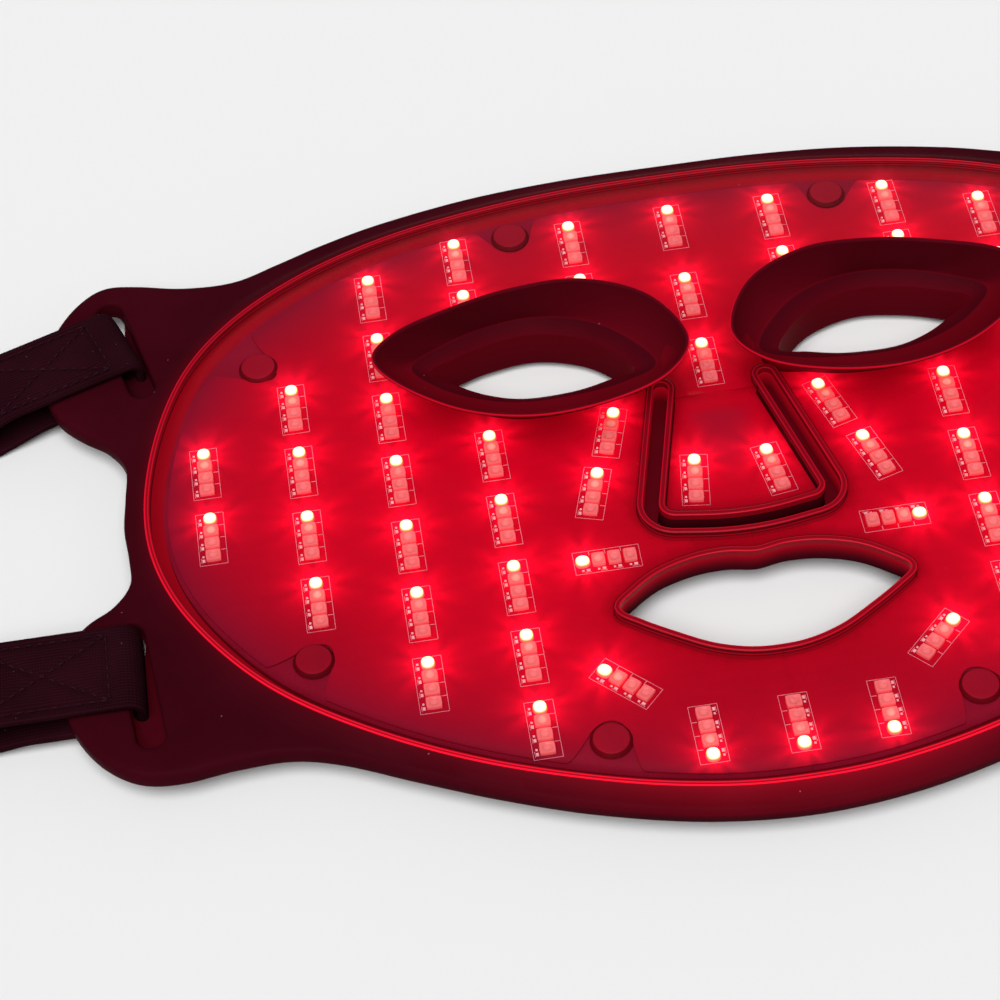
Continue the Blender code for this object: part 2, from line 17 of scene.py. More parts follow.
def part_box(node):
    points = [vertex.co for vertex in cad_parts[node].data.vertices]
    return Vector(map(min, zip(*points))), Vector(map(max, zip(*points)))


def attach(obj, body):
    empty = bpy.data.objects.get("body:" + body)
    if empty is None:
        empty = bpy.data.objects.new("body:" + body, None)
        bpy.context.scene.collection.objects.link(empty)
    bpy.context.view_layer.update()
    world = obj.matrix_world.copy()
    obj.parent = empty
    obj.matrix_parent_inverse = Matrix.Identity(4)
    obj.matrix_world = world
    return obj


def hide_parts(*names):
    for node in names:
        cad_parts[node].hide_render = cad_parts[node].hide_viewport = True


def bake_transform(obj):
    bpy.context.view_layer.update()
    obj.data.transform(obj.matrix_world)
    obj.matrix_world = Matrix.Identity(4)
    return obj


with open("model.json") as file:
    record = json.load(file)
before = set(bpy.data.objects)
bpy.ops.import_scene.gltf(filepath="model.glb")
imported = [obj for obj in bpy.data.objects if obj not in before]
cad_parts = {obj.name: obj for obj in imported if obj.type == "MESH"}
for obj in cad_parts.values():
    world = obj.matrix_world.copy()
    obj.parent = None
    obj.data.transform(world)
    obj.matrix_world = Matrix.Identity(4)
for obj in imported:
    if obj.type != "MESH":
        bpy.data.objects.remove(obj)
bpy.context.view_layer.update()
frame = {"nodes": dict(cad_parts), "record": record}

MM = 0.001
BRIDGE_Y = 104.0

# Heights, read from the frame, with the tray's and the tabs' given
WINDOW_LOW, WINDOW_TOP = (corner.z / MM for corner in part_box("clear_window"))
BOARD_LOW, BOARD_TOP = (corner.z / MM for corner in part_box("flex_circuit"))
FOAM_LOW, FOAM_TOP = (corner.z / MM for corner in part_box("foam_sheet"))
UNDER_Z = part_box("outer_shell")[0].z / MM
PACKAGE_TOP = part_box("led_centre")[1].z / MM
CUP_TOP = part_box("eye_cup_left")[1].z / MM
TRAY_Z = 6.8
TAB_Z = 9.8

# Where the nose flap bends at its root
ROOT_Y = -17.2

OUTER_HALF = [(0.0, 60.7), (24.0, 60.4), (47.0, 58.4), (69.0, 54.1), (84.0, 49.5), (95.0, 45.2),
              (106.0, 41.3), (118.0, 41.6), (129.0, 44.3), (136.5, 45.0), (142.5, 41.6), (148.0, 34.5),
              (151.8, 25.0), (152.4, 15.0), (149.8, 6.0), (144.5, -0.2), (138.8, -5.0), (135.0, -12.0),
              (135.5, -21.0), (136.3, -30.0), (135.7, -39.0), (135.9, -46.0), (139.8, -51.6),
              (145.8, -55.6), (150.2, -61.0), (152.2, -69.0), (151.4, -78.0), (148.4, -86.0),
              (143.4, -92.7), (136.6, -97.2), (128.0, -98.3), (117.0, -97.0), (105.0, -96.8), (94.0, -99.9),
              (80.0, -106.5), (63.0, -114.1), (44.0, -121.1), (22.0, -126.6), (0.0, -128.6)]
WINDOW_HALF = [(0.0, 54.5), (25.0, 53.8), (48.0, 51.0), (70.0, 46.0), (90.0, 37.8), (107.0, 26.5),
               (119.5, 12.0), (127.5, -7.0), (131.3, -28.0), (129.6, -46.0), (122.0, -63.5), (108.0, -81.5),
               (89.0, -96.0), (66.0, -108.3), (40.0, -117.7), (18.0, -122.6), (0.0, -123.8)]
MOUTH_HALF = [(0.0, -64.1), (6.6, -63.1), (14.0, -63.6), (21.8, -66.0), (28.0, -70.1), (31.7, -74.0),
              (27.6, -77.8), (20.8, -82.4), (13.8, -86.5), (6.6, -88.9), (0.0, -89.5)]
EYE_HOLE = [(63.5, 1.0), (56.5, 4.6), (48.5, 7.2), (38.5, 8.4), (28.5, 5.6), (21.5, 0.4), (16.8, -6.8),
            (23.0, -8.8), (31.5, -10.8), (42.5, -11.0), (50.5, -8.6), (57.5, -4.2)]
EYE_CREASE = [(67.5, 1.5), (59.0, 7.0), (48.5, 10.6), (37.5, 11.6), (26.5, 8.8), (18.0, 2.4), (11.8, -7.6),
              (20.0, -12.2), (31.5, -14.0), (43.5, -14.0), (54.0, -11.0), (62.5, -5.8)]
EYE_RIM = [(76.5, -3.0), (70.0, 4.3), (57.0, 9.4), (42.0, 12.9), (26.0, 12.8), (11.5, 5.0), (4.6, -9.5),
           (10.8, -20.0), (25.0, -25.8), (42.0, -27.2), (58.0, -22.6), (71.5, -12.3)]
# Middle line of the nose slot with the radius of each corner, from the right arm's end to the chin
SLOT_LINE = [(12.1, -13.95, 0.0), (21.54, -51.98, 5.25), (0.0, -55.65, 60.0)]
SLOT_REACH = 1.75
CUP_WALL = 3.5

STRAP_SLOT_WIDTH = 6.2
STRAP_SLOTS = [((-132.8, 23.6), 194.0, 32.0), ((-135.2, -73.9), 186.0, 33.5)]
STRAPS = {"upper": ((-133.2, 25.6), 200.0, 20.0), "lower": ((-135.6, -69.9), 180.0, 22.0)}
STRAP_THICK = 2.4
OPENING_SHIFT = 10.0
FOLD_RUN = -0.25
TAIL_END = 212.9
EDGE_ROUND = 0.9
LEDGE, LEDGE_Z = 3.3, 5.8
POSTS = {"brow": (38.7, 43.0), "temple": (102.4, 12.0), "jaw": (98.0, -74.3), "chin": (39.0, -105.6)}


# ---------------------------------------------------------------- outlines

def both_sides(half):
    """Close a half outline with its mirror image in x."""
    return half + [(-x, *rest) for x, *rest in reversed(half) if x > 0.0]


def smooth(points, steps=10):
    """Closed Catmull-Rom curve through the points."""
    points = np.array(points)
    count = len(points)
    out = []
    for i in range(count):
        before, here, after, beyond = (points[(i + k) % count] for k in (-1, 0, 1, 2))
        for t in np.arange(steps) / steps:
            linear = (after - before) * t
            square = (2.0 * before - 5.0 * here + 4.0 * after - beyond) * t ** 2
            cubic = (3.0 * here - before - 3.0 * after + beyond) * t ** 3
            out.append(0.5 * (2.0 * here + linear + square + cubic))
    return np.array(out)


def spaced(line, step, closed=True):
    """The same line with points about a step apart."""
    ends = np.vstack([line, line[:1]]) if closed else line
    along = np.concatenate([[0.0], np.cumsum(np.linalg.norm(np.diff(ends, axis=0), axis=1))])
    places = np.linspace(0.0, along[-1], max(4, round(along[-1] / step)) + 1)
    found = np.stack([np.interp(places, along, ends[:, k]) for k in range(2)], axis=1)
    return found[:-1] if closed else found


def offset(loop, distance):
    """Move a closed outline outwards, or inwards when distance is negative."""
    along = np.roll(loop, -1, axis=0) - np.roll(loop, 1, axis=0)
    along /= np.linalg.norm(along, axis=1)[:, None]
    turning = np.sum(loop[:, 0] * np.roll(loop[:, 1], -1) - np.roll(loop[:, 0], -1) * loop[:, 1])
    outwards = np.stack([along[:, 1], -along[:, 0]], axis=1) * math.copysign(1.0, turning)
    return loop + outwards * np.broadcast_to(distance, len(loop))[:, None]


def headings(path):
    """Direction of an open path at each of its points."""
    step = np.gradient(path, axis=0)
    return step / np.linalg.norm(step, axis=1)[:, None]


def beside(path, distance):
    """Open path moved to its left by a distance."""
    along = headings(path)
    return path + np.stack([-along[:, 1], along[:, 0]], axis=1) * distance


def rounded_path(corners, steps=8):
    """Open path whose corners (x, y, radius) are rounded with arcs."""
    out = [np.array(corners[0][:2])]
    for before, (x, y, radius), after in zip(corners, corners[1:], corners[2:]):
        corner = Vector((x, y))
        back = (Vector(before[:2]) - corner).normalized()
        ahead = (Vector(after[:2]) - corner).normalized()
        half = back.angle(ahead) / 2.0
        reach = radius / math.tan(half)
        centre = corner + (back + ahead).normalized() * (radius / math.sin(half))
        start = corner + back * reach - centre
        sweep = start.angle_signed(corner + ahead * reach - centre)
        out += [np.array(centre + Matrix.Rotation(-sweep * k / steps, 2) @ start) for k in range(steps + 1)]
    out.append(np.array(corners[-1][:2]))
    return np.array(out)


def circle(x, y, radius, sides=32):
    """Round outline."""
    turn = np.arange(sides) * 2.0 * math.pi / sides
    return np.stack([x + radius * np.cos(turn), y + radius * np.sin(turn)], axis=1)


def eye_loop(points, side, steps=9):
    """Outline around one eye: side is 1 on the right and -1 on the left."""
    return smooth(points, steps) * np.array([side, 1.0])


def in_tab(outline, centre, heading, side):
    """Turn and move an outline into a left tab, or a right one when side is -1."""
    turn = math.radians(heading)
    spin = np.array([[math.cos(turn), math.sin(turn)], [-math.sin(turn), math.cos(turn)]])
    return spaced((outline @ spin + np.array(centre)) * np.array([side, 1.0]), 0.9)


def strap_slot(centre, heading, length, side):
    """Round-ended slot in a tab."""
    turn = np.linspace(0.0, math.pi, 13)
    half = STRAP_SLOT_WIDTH / 2.0
    end = np.stack([half * np.cos(turn), length / 2.0 - half + half * np.sin(turn)], axis=1)
    return in_tab(np.concatenate([end, -end]), centre, heading, side)


SLOT_MIDDLE = spaced(rounded_path(both_sides(SLOT_LINE)), 0.8, closed=False)


def nose_lines(grow, ledge=0.0):
    """The nose slot's edges, grown: the line around its outer side and both arms down to the flap's
    root, and the flap's own line from root to root.  A ledge narrows the slot from its outer side."""
    reach = SLOT_REACH + grow
    inner, outer = beside(SLOT_MIDDLE, -reach), beside(SLOT_MIDDLE, reach - ledge)
    flap = np.flatnonzero(inner[:, 1] < ROOT_Y)
    first, last = flap[0], flap[-1]

    def at_root(a, b):
        return a + (b - a) * (ROOT_Y - a[1]) / (b[1] - a[1])

    def cap(end, forward):
        middle, half = (inner[end] + outer[end]) / 2.0, (outer[end] - inner[end]) / 2.0
        turn = np.linspace(0.0, math.pi, 9)[1:-1, None]
        return middle + half * np.cos(turn) + forward * np.hypot(*half) * np.sin(turn)

    along = headings(SLOT_MIDDLE)
    root_right, root_left = at_root(inner[first - 1], inner[first]), at_root(inner[last + 1], inner[last])
    around = np.vstack([[root_right], inner[:first][::-1], cap(0, -along[0])[::-1], outer, cap(-1, along[-1]),
                        inner[last + 1:][::-1], [root_left]])
    return around, np.vstack([[root_right], inner[first:last + 1], [root_left]])


OUTER = spaced(smooth(both_sides(OUTER_HALF)), 1.3)
WINDOW = spaced(smooth(both_sides(WINDOW_HALF)), 1.2)
MOUTH = spaced(smooth(both_sides(MOUTH_HALF)), 0.9)
EYES = [offset(eye_loop(EYE_HOLE, side), CUP_WALL + 0.3) for side in (1, -1)]
STRAP_RECESSES = [strap_slot(*place, side) for place in STRAP_SLOTS for side in (1, -1)]


def strap_opening(centre, heading, length, side):
    """The part of a strap's slot that goes all the way through, widest at its upper end."""
    end, low = length / 2.0, length / 2.0 - OPENING_SHIFT
    drop = [(2.8, 3.0 - end), (2.8, 0.0), (2.8, low - 1.6), (1.6, low), (0.6, low), (-0.2, low - 1.6),
            (-0.2, 0.0), (-1.0, 10.5 - end), (-2.5, 5.5 - end), (-2.8, 3.2 - end), (-1.9, 1.0 - end),
            (0.0, 0.3 - end), (1.9, 1.0 - end)]
    return in_tab(smooth(drop), centre, heading, side)


STRAP_HOLES = [strap_opening(*place, side) for place in STRAP_SLOTS for side in (1, -1)]


# ---------------------------------------------------------------- light clusters

CLUSTER_PITCH = 19.0


def every_pitch(top_y, count):
    """Places of clusters one under the other."""
    return [top_y - CLUSTER_PITCH * i for i in range(count)]


# Each cluster is its lit package's x and y and the direction of its row in degrees
SIDE_COLUMNS = {
    "led_brow_inner": (24.4, (43.4, 25.6)),
    "led_brow_outer": (52.4, (42.7, 25.6)),
    "led_cheek_inner": (52.4, every_pitch(-19.0, 5)),
    "led_cheek_middle": (74.1, every_pitch(34.6, 7)),
    "led_cheek_outer": (95.5, every_pitch(3.2, 4)),
    "led_temple": (117.0, every_pitch(-12.4, 2)),
}
SIDE_STRIPS = {
    "led_nose_side": [(23.7, -17.4, -73.0), (30.2, -34.3, -73.0)],
    "led_mouth_side": [(37.4, -58.4, 180.0), (37.5, -88.1, -136.0)],
}
STRIPS = {
    "led_centre": [(0.0, y, -90.0) for y in (44.3, 21.3, 0.0)],
    "led_chin": [(-19.0, -113.0, 90.0), (0.0, -113.4, 90.0), (19.0, -113.0, 90.0)],
    "led_flap": [(-8.2, -34.4, -98.0), (8.2, -34.4, -82.0)],
}
for strip, (column_x, lit_y) in SIDE_COLUMNS.items():
    STRIPS[strip + "_right"] = [(column_x, y, -90.0) for y in lit_y]
    STRIPS[strip + "_left"] = [(-column_x, y, -90.0) for y in lit_y]
for strip, clusters in SIDE_STRIPS.items():
    STRIPS[strip + "_right"] = clusters
    STRIPS[strip + "_left"] = [(-x, y, 180.0 - heading) for x, y, heading in clusters]
LIT = np.array([(x, y) for clusters in STRIPS.values() for x, y, _ in clusters])
PACKAGE_PITCH = 3.5


def glow(points):
    """How much light reaches each plan point from the lit packages, with faint rays around each."""
    total = np.zeros(len(points))
    for k, (x, y) in enumerate(LIT):
        arm = points - (x, y)
        r = np.hypot(arm[:, 0], arm[:, 1])
        near = r < 60.0
        turn = np.arctan2(arm[near, 1], arm[near, 0])
        rays = 1.0 + 0.42 * np.cos(7.0 * turn + 1.7 * k) + 0.40 * np.cos(11.0 * turn + 2.9 * k)
        r = r[near]
        total[near] += (1.4 * np.exp(-(r / 2.8) ** 2) + 0.46 * np.exp(-(r / 6.4) ** 2) * rays
                        + 0.13 * np.exp(-r / 9.0))
    return total


def board_glow(points):
    """How strongly the circuit shines at each plan point."""
    return 0.04 + 1.15 * glow(points)


def around_lights(*sizes):
    """Circles around each lit package, each size a radius and its number of points."""
    return [circle(x, y, radius, sides) for x, y in LIT for radius, sides in sizes]


# ---------------------------------------------------------------- meshes

def distance(points, line, closed=True):
    """Distance from each point to a line of straight pieces."""
    starts, ends = (line, np.roll(line, -1, axis=0)) if closed else (line[:-1], line[1:])
    best = np.full(len(points), 1e9)
    for a, b in zip(starts, ends):
        step = b - a
        t = np.clip(((points - a) @ step) / max(step @ step, 1e-12), 0.0, 1.0)
        gap = points - a - t[:, None] * step
        best = np.minimum(best, gap[:, 0] ** 2 + gap[:, 1] ** 2)
    return np.sqrt(best)


def inside(points, loop):
    """Which points lie inside a closed outline."""
    x, y = points[:, 0], points[:, 1]
    found = np.zeros(len(points), bool)
    for (x0, y0), (x1, y1) in zip(loop, np.roll(loop, -1, axis=0)):
        if y0 != y1:
            found ^= ((y0 > y) != (y1 > y)) & (x < (x1 - x0) * (y - y0) / (y1 - y0) + x0)
    return found


def on_sheet(points, outer, holes):
    """Which points lie inside an outline and outside its holes."""
    keep = inside(points, outer)
    for hole in holes:
        keep &= ~inside(points, hole)
    return keep


def triangulated(outer, holes, loops=(), lines=(), dots=(), spacing=2.0):
    """Points and triangles of a flat sheet with holes, its triangles following the loops and lines."""
    coords, edges = [], []

    def trace(line, closed):
        first, count = len(coords), len(line)
        coords.extend(tuple(p) for p in line)
        edges.extend((first + i, first + (i + 1) % count) for i in range(count if closed else count - 1))

    for loop in [outer, *holes, *loops]:
        trace(loop, True)
    for line in lines:
        trace(line, False)
    low, high = outer.min(axis=0), outer.max(axis=0)
    middle = np.arange(low[1] - 1.0, high[1] + 1.0, spacing)
    trace(np.stack([np.zeros_like(middle), middle], axis=1), False)
    tree = kdtree.KDTree(len(coords))
    for i, (x, y) in enumerate(coords):
        tree.insert((x, y, 0.0), i)
    tree.balance()
    rows = np.arange(low[1], high[1], spacing * 0.866)
    grid = np.array([(x + (k % 2) * spacing / 2.0, y) for k, y in enumerate(rows)
                     for x in np.arange(low[0] - spacing, high[0] + spacing, spacing)])
    for found, gap in [(np.array(line), 0.25) for line in dots] + [(grid, spacing * 0.55)]:
        keep = on_sheet(found, outer, holes)
        coords.extend((x, y) for x, y in found[keep] if tree.find((x, y, 0.0))[2] > gap)
    made = geometry.delaunay_2d_cdt([Vector(p) for p in coords], edges, [], 0, 1e-5)
    points, faces = np.array([p[:] for p in made[0]]), np.array([f[:3] for f in made[2]])
    faces = faces[on_sheet(points[faces].mean(axis=1), outer, holes)]
    a, b, c = (points[faces[:, k]] for k in range(3))
    turned = (b[:, 0] - a[:, 0]) * (c[:, 1] - a[:, 1]) - (b[:, 1] - a[:, 1]) * (c[:, 0] - a[:, 0])
    faces = faces[np.abs(turned) > 1e-7]
    turned = turned[np.abs(turned) > 1e-7]
    faces[turned < 0.0] = faces[turned < 0.0][:, ::-1]
    return points, faces


def to_metres(points):
    """Mask millimetres to the frame's metres."""
    return (np.asarray(points) + (0.0, BRIDGE_Y, 0.0)) * MM


def new_object(name, data):
    """New object in the scene."""
    made = bpy.data.objects.new(name, data)
    bpy.context.scene.collection.objects.link(made)
    return made


def mesh_piece(name, points, faces, paints, attributes=None, slots=None, sharp=35.0):
    """New mesh object from points in mask millimetres."""
    mesh = bpy.data.meshes.new(name)
    mesh.from_pydata(to_metres(points).tolist(), [], [list(map(int, face)) for face in faces])
    mesh.validate()
    for paint in paints:
        mesh.materials.append(paint)
    if slots is not None:
        mesh.polygons.foreach_set("material_index", np.asarray(slots, dtype=np.int32))
    for label, values in (attributes or {}).items():
        values = np.asarray(values, dtype=np.float32)
        kind = "FLOAT" if values.ndim == 1 else "FLOAT_COLOR"
        layer = mesh.attributes.new(label, kind, "POINT")
        layer.data.foreach_set("value" if values.ndim == 1 else "color", values.ravel())
    mesh.shade_smooth()
    mesh.set_sharp_from_angle(angle=math.radians(sharp))
    mesh.update()
    return new_object(name, mesh)


def loft_faces(count, rings, close=False):
    """Faces through matching rings of points: capped at both ends, or closed from last to first."""
    faces, sides = [], [(i, (i + 1) % count) for i in range(count)]
    for k in range(rings if close else rings - 1):
        here, there = k * count, (k + 1) % rings * count
        faces += [(here + i, here + j, there + j, there + i) for i, j in sides]
    if not close:
        faces += [tuple(range(count))[::-1], tuple(range((rings - 1) * count, rings * count))]
    return faces


def face_outwards(made):
    """Turn a closed mesh's faces outwards."""
    bm = bmesh.new()
    bm.from_mesh(made.data)
    bmesh.ops.recalc_face_normals(bm, faces=bm.faces)
    bm.to_mesh(made.data)
    bm.free()


def slab(name, points, faces, top, low, paints, attributes=None, sharp=35.0):
    """Closed slab over a flat triangulation.  An attribute is a pair: its values on the top, and what
    they are multiplied by underneath."""
    used = np.unique(faces)
    new = np.full(len(points), -1)
    new[used] = np.arange(len(used))
    faces, count = new[faces], len(used)
    plan = points[used]
    solid = np.vstack([np.column_stack([plan, np.broadcast_to(top, len(points))[used]]),
                       np.column_stack([plan, np.broadcast_to(low, len(points))[used]])])
    edges = np.concatenate([faces[:, [0, 1]], faces[:, [1, 2]], faces[:, [2, 0]]])
    known = set(map(tuple, edges.tolist()))
    sides = [(a, a + count, b + count, b) for a, b in known if (b, a) not in known]
    sides.sort()
    values = {}
    for label, (layer, under) in (attributes or {}).items():
        values[label] = np.concatenate([layer[used], layer[used] * under])
    return mesh_piece(name, solid, faces.tolist() + (faces[:, ::-1] + count).tolist() + sides, paints, values,
                      sharp=sharp)


def halves(name, points, faces, top, low, paint, attributes, replaced):
    """Left and right halves of a sheet."""
    for label, side in (("left", -1.0), ("right", 1.0)):
        mine = faces[points[faces].mean(axis=1)[:, 0] * side > 0.0]
        made = slab(f"{name}_{label}", points, mine, top, low, [paint], attributes)
        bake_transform(made)
        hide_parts(f"{replaced}_{label}", *([replaced] if label == "left" else []))


def flap_slab(name, points, faces, top, low, paint, attributes, replaced):
    """One sheet of the nose flap."""
    made = slab(name, points, faces, top, low, [paint], attributes)
    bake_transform(made)
    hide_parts(replaced)


def round_edge(gap, reach, drop):
    """How far a rounded edge of that reach falls below its sheet at each distance from the edge."""
    t = np.clip((reach - gap) / reach, 0.0, 1.0)
    return drop * (1.0 - np.sqrt(1.0 - t ** 2))


# ---------------------------------------------------------------- materials

class Paint:
    """A material's node tree, with short calls for the nodes used here."""

    def __init__(self, name):
        self.material = bpy.data.materials.new(name)
        self.material.use_nodes = True
        self.tree = self.material.node_tree
        self.shader = self.tree.nodes["Principled BSDF"]
        self.output = self.tree.nodes["Material Output"]

    def node(self, kind, inputs=None, **settings):
        made = self.tree.nodes.new(kind)
        for key, value in settings.items():
            setattr(made, key, value)
        for key, value in (inputs or {}).items():
            self.set(made.inputs[key], value)
        return made

    def set(self, socket, value):
        """Link or set a socket.  A colour is given without its alpha."""
        if isinstance(value, bpy.types.NodeSocket):
            self.tree.links.new(value, socket)
        else:
            socket.default_value = (*value, 1.0) if isinstance(value, tuple) else value

    def base(self, **values):
        for key, value in values.items():
            self.set(self.shader.inputs[key.replace("_", " ")], value)

    def place(self):
        return self.node("ShaderNodeTexCoord").outputs["Object"]

    def noise(self, scale, detail=3.0, rough=0.5):
        inputs = {"Vector": self.place(), "Scale": scale, "Detail": detail, "Roughness": rough}
        return self.node("ShaderNodeTexNoise", inputs).outputs["Fac"]

    def math(self, operation, a, b=0.0, clamp=False):
        return self.node("ShaderNodeMath", {0: a, 1: b}, operation=operation, use_clamp=clamp).outputs[0]

    def spread(self, value, low, high, to_low=0.0, to_high=1.0):
        inputs = {"Value": value, "From Min": low, "From Max": high, "To Min": to_low, "To Max": to_high}
        return self.node("ShaderNodeMapRange", inputs).outputs[0]

    def grain(self, scale, low=0.0, high=1.0, detail=3.0, rough=0.5):
        """Noise stretched between two values."""
        return self.spread(self.noise(scale, detail, rough=rough), 0.3, 0.7, low, high)

    def mix(self, share, a, b):
        return self.node("ShaderNodeMix", {"Factor": share, 6: a, 7: b}, data_type="RGBA").outputs[2]

    def attribute(self, name):
        return self.node("ShaderNodeAttribute", attribute_name=name)

    def bump(self, height, strength, depth):
        made = self.node("ShaderNodeBump", {"Height": height, "Strength": strength, "Distance": depth})
        self.base(Normal=made.outputs[0])

    def times(self, a, b, clamp=False):
        return self.math("MULTIPLY", a, b, clamp)

    def two_tone(self, low, high, scale, detail=4.0):
        """Two colours in soft clouds."""
        return self.mix(self.grain(scale, detail=detail), low, high)

    def dust_and_glint_specks(self, scale=260.0, size=0.045):
        """Share of a few tiny specks, used as dust and lint, and on the window as painted glints."""
        cells = self.node("ShaderNodeTexVoronoi", {"Vector": self.place(), "Scale": scale})
        speck = self.math("LESS_THAN", cells.outputs["Distance"], size)
        pick = self.node("ShaderNodeSeparateColor", {"Color": cells.outputs["Color"]}).outputs[0]
        return self.times(speck, self.math("LESS_THAN", pick, 0.16))


def fill_ramp(ramp, stops):
    """Give a colour ramp its stops: position and colour, from first to last."""
    for element, (position, colour) in zip(ramp.elements, (stops[0], stops[-1])):
        element.position, element.color = position, (*colour, 1.0)
    for position, colour in stops[1:-1]:
        ramp.elements.new(position).color = (*colour, 1.0)


def silicone_paint():
    """Soft matte burgundy silicone that light leaks through by its "lit" attribute."""
    paint = Paint("silicone")
    body = paint.two_tone((0.032, 0.0016, 0.0046), (0.043, 0.0024, 0.0064), 45.0)
    specks = paint.dust_and_glint_specks()
    paint.base(Base_Color=paint.mix(paint.times(specks, 0.6), body, (0.30, 0.12, 0.15)))
    paint.base(Roughness=paint.grain(900.0, 0.30, 0.38, 2.0))
    paint.base(Specular_IOR_Level=0.003)
    lit = paint.attribute("lit").outputs["Fac"]
    paint.base(Emission_Color=(1.0, 0.003, 0.022), Emission_Strength=paint.times(lit, lit))
    paint.bump(paint.math("ADD", paint.noise(2600.0, 2.0), paint.times(specks, 1.5)), 0.10, 0.00012)
    return paint.material


def window_paint():
    """Clear glossy silicone.  Its "film" attribute holds the halo over lit packages, the lit lines,
    where it is solid, and in alpha where it is dim."""
    paint = Paint("clear_silicone")
    film = paint.attribute("film")
    parts = paint.node("ShaderNodeSeparateColor", {"Color": film.outputs["Color"]})
    halo, lit, solid = (parts.outputs[k] for k in range(3))
    dim = film.outputs["Alpha"]
    paint.base(Base_Color=paint.mix(lit, (0.075, 0.0015, 0.005), (0.45, 0.004, 0.016)))
    paint.base(Roughness=0.26, Specular_IOR_Level=0.04, Emission_Color=(1.0, 0.004, 0.025))
    paint.base(Emission_Strength=paint.times(lit, lit))
    # Tiny specks that shine red on the window: painted glints, added to the halo's painted glow.
    specks = paint.dust_and_glint_specks(230.0, 0.04)
    tint = paint.mix(dim, (0.99, 0.94, 0.96), (0.40, 0.14, 0.36))
    clear = paint.node("ShaderNodeBsdfTransparent", {"Color": tint})
    spark = paint.math("ADD", halo, paint.times(specks, 0.25))
    shine = paint.node("ShaderNodeEmission", {"Color": (1.0, 0.012, 0.05), "Strength": spark})
    lighted = paint.node("ShaderNodeAddShader", {0: clear.outputs[0], 1: shine.outputs[0]})
    ripple = paint.node("ShaderNodeBump", {"Height": paint.noise(38.0, 2.0), "Strength": 0.10,
                                           "Distance": 0.0006})
    gloss = paint.node("ShaderNodeBsdfGlossy", {"Color": (1.0, 1.0, 1.0), "Normal": ripple.outputs[0],
                                                "Roughness": paint.grain(160.0, 0.07, 0.12)})
    facing = paint.node("ShaderNodeFresnel", {"IOR": 1.41, "Normal": ripple.outputs[0]})
    front = paint.math("SUBTRACT", 1.0, paint.node("ShaderNodeNewGeometry").outputs["Backfacing"])
    share = paint.times(facing.outputs[0], front)
    coated = paint.node("ShaderNodeMixShader", {"Fac": share, 1: lighted.outputs[0], 2: gloss.outputs[0]})
    surfaces = {"Fac": solid, 1: coated.outputs[0], 2: paint.shader.outputs[0]}
    whole = paint.node("ShaderNodeMixShader", surfaces)
    paint.set(paint.output.inputs["Surface"], whole.outputs[0])
    return paint.material


def board_paint():
    """Red flexible circuit, lit by its own packages through the "glow" attribute."""
    paint = Paint("circuit")
    body = paint.mix(paint.grain(26.0, detail=5.0, rough=0.6), (0.33, 0.0005, 0.010), (0.43, 0.0008, 0.013))
    weave = paint.node("ShaderNodeTexWave", {"Vector": paint.place(), "Scale": 95.0, "Distortion": 0.6,
                                             "Detail": 1.0}, bands_direction="Y")
    body = paint.mix(paint.times(weave.outputs["Fac"], 0.10), body, (0.26, 0.0004, 0.008))
    body = paint.mix(paint.attribute("shade").outputs["Fac"], body, (0.150, 0.006, 0.024))
    paint.base(Base_Color=body, Specular_IOR_Level=0.02)
    paint.base(Roughness=paint.grain(300.0, 0.42, 0.55))
    paint.base(Emission_Color=(1.0, 0.002, 0.020), Emission_Strength=paint.attribute("glow").outputs["Fac"])
    paint.bump(paint.noise(700.0), 0.15, 0.0002)
    return paint.material


def plain_paint(name, low, high, rough, scale=60.0, grain=900.0, depth=0.0002, **values):
    """Two-tone surface with a fine grain."""
    paint = Paint(name)
    paint.base(Base_Color=paint.two_tone(low, high, scale))
    paint.base(Roughness=paint.grain(grain * 0.4, rough - 0.06, rough + 0.06), **values)
    paint.bump(paint.noise(grain, 3.0), 0.3, depth)
    return paint.material


def package_paint():
    """Light package: "warm" is how strongly it shines, "core" is 1 in its middle, "glow" is the red
    light that falls on it."""
    paint = Paint("led_package")
    core = paint.attribute("core").outputs["Fac"]
    warm = paint.attribute("warm").outputs["Fac"]
    red = paint.attribute("glow").outputs["Fac"]
    ring = paint.math("PINGPONG", paint.times(core, 2.0), 1.0)
    body = paint.mix(paint.times(ring, 0.45), (0.78, 0.195, 0.185), (0.52, 0.07, 0.08))
    paint.base(Base_Color=paint.mix(paint.grain(1800.0, 0.0, 0.2), body, (0.78, 0.26, 0.27)))
    paint.base(Roughness=paint.grain(1400.0, 0.30, 0.42))
    hot = paint.node("ShaderNodeValToRGB", {"Fac": core})
    fill_ramp(hot.color_ramp, [(0.0, (1.0, 0.004, 0.02)), (0.28, (1.0, 0.05, 0.01)), (0.45, (1.0, 0.4, 0.05)),
                               (0.62, (1.0, 0.8, 0.36)), (1.0, (1.0, 0.95, 0.72))])
    spread = paint.mix(paint.times(warm, 4.0, clamp=True), (1.0, 0.004, 0.02), hot.outputs[0])
    strength = paint.math("ADD", paint.times(warm, 1.25), paint.math("ADD", paint.times(red, 0.35), 0.10))
    paint.base(Emission_Color=spread, Emission_Strength=strength)
    return paint.material


def print_paint():
    """Pale printed line, tinted by the red light."""
    paint = Paint("print")
    paint.base(Base_Color=paint.two_tone((0.62, 0.22, 0.26), (0.80, 0.34, 0.38), 500.0, 3.0), Roughness=0.6)
    paint.base(Emission_Color=(1.0, 0.10, 0.14))
    paint.base(Emission_Strength=paint.grain(240.0, 0.02, 0.16))
    return paint.material


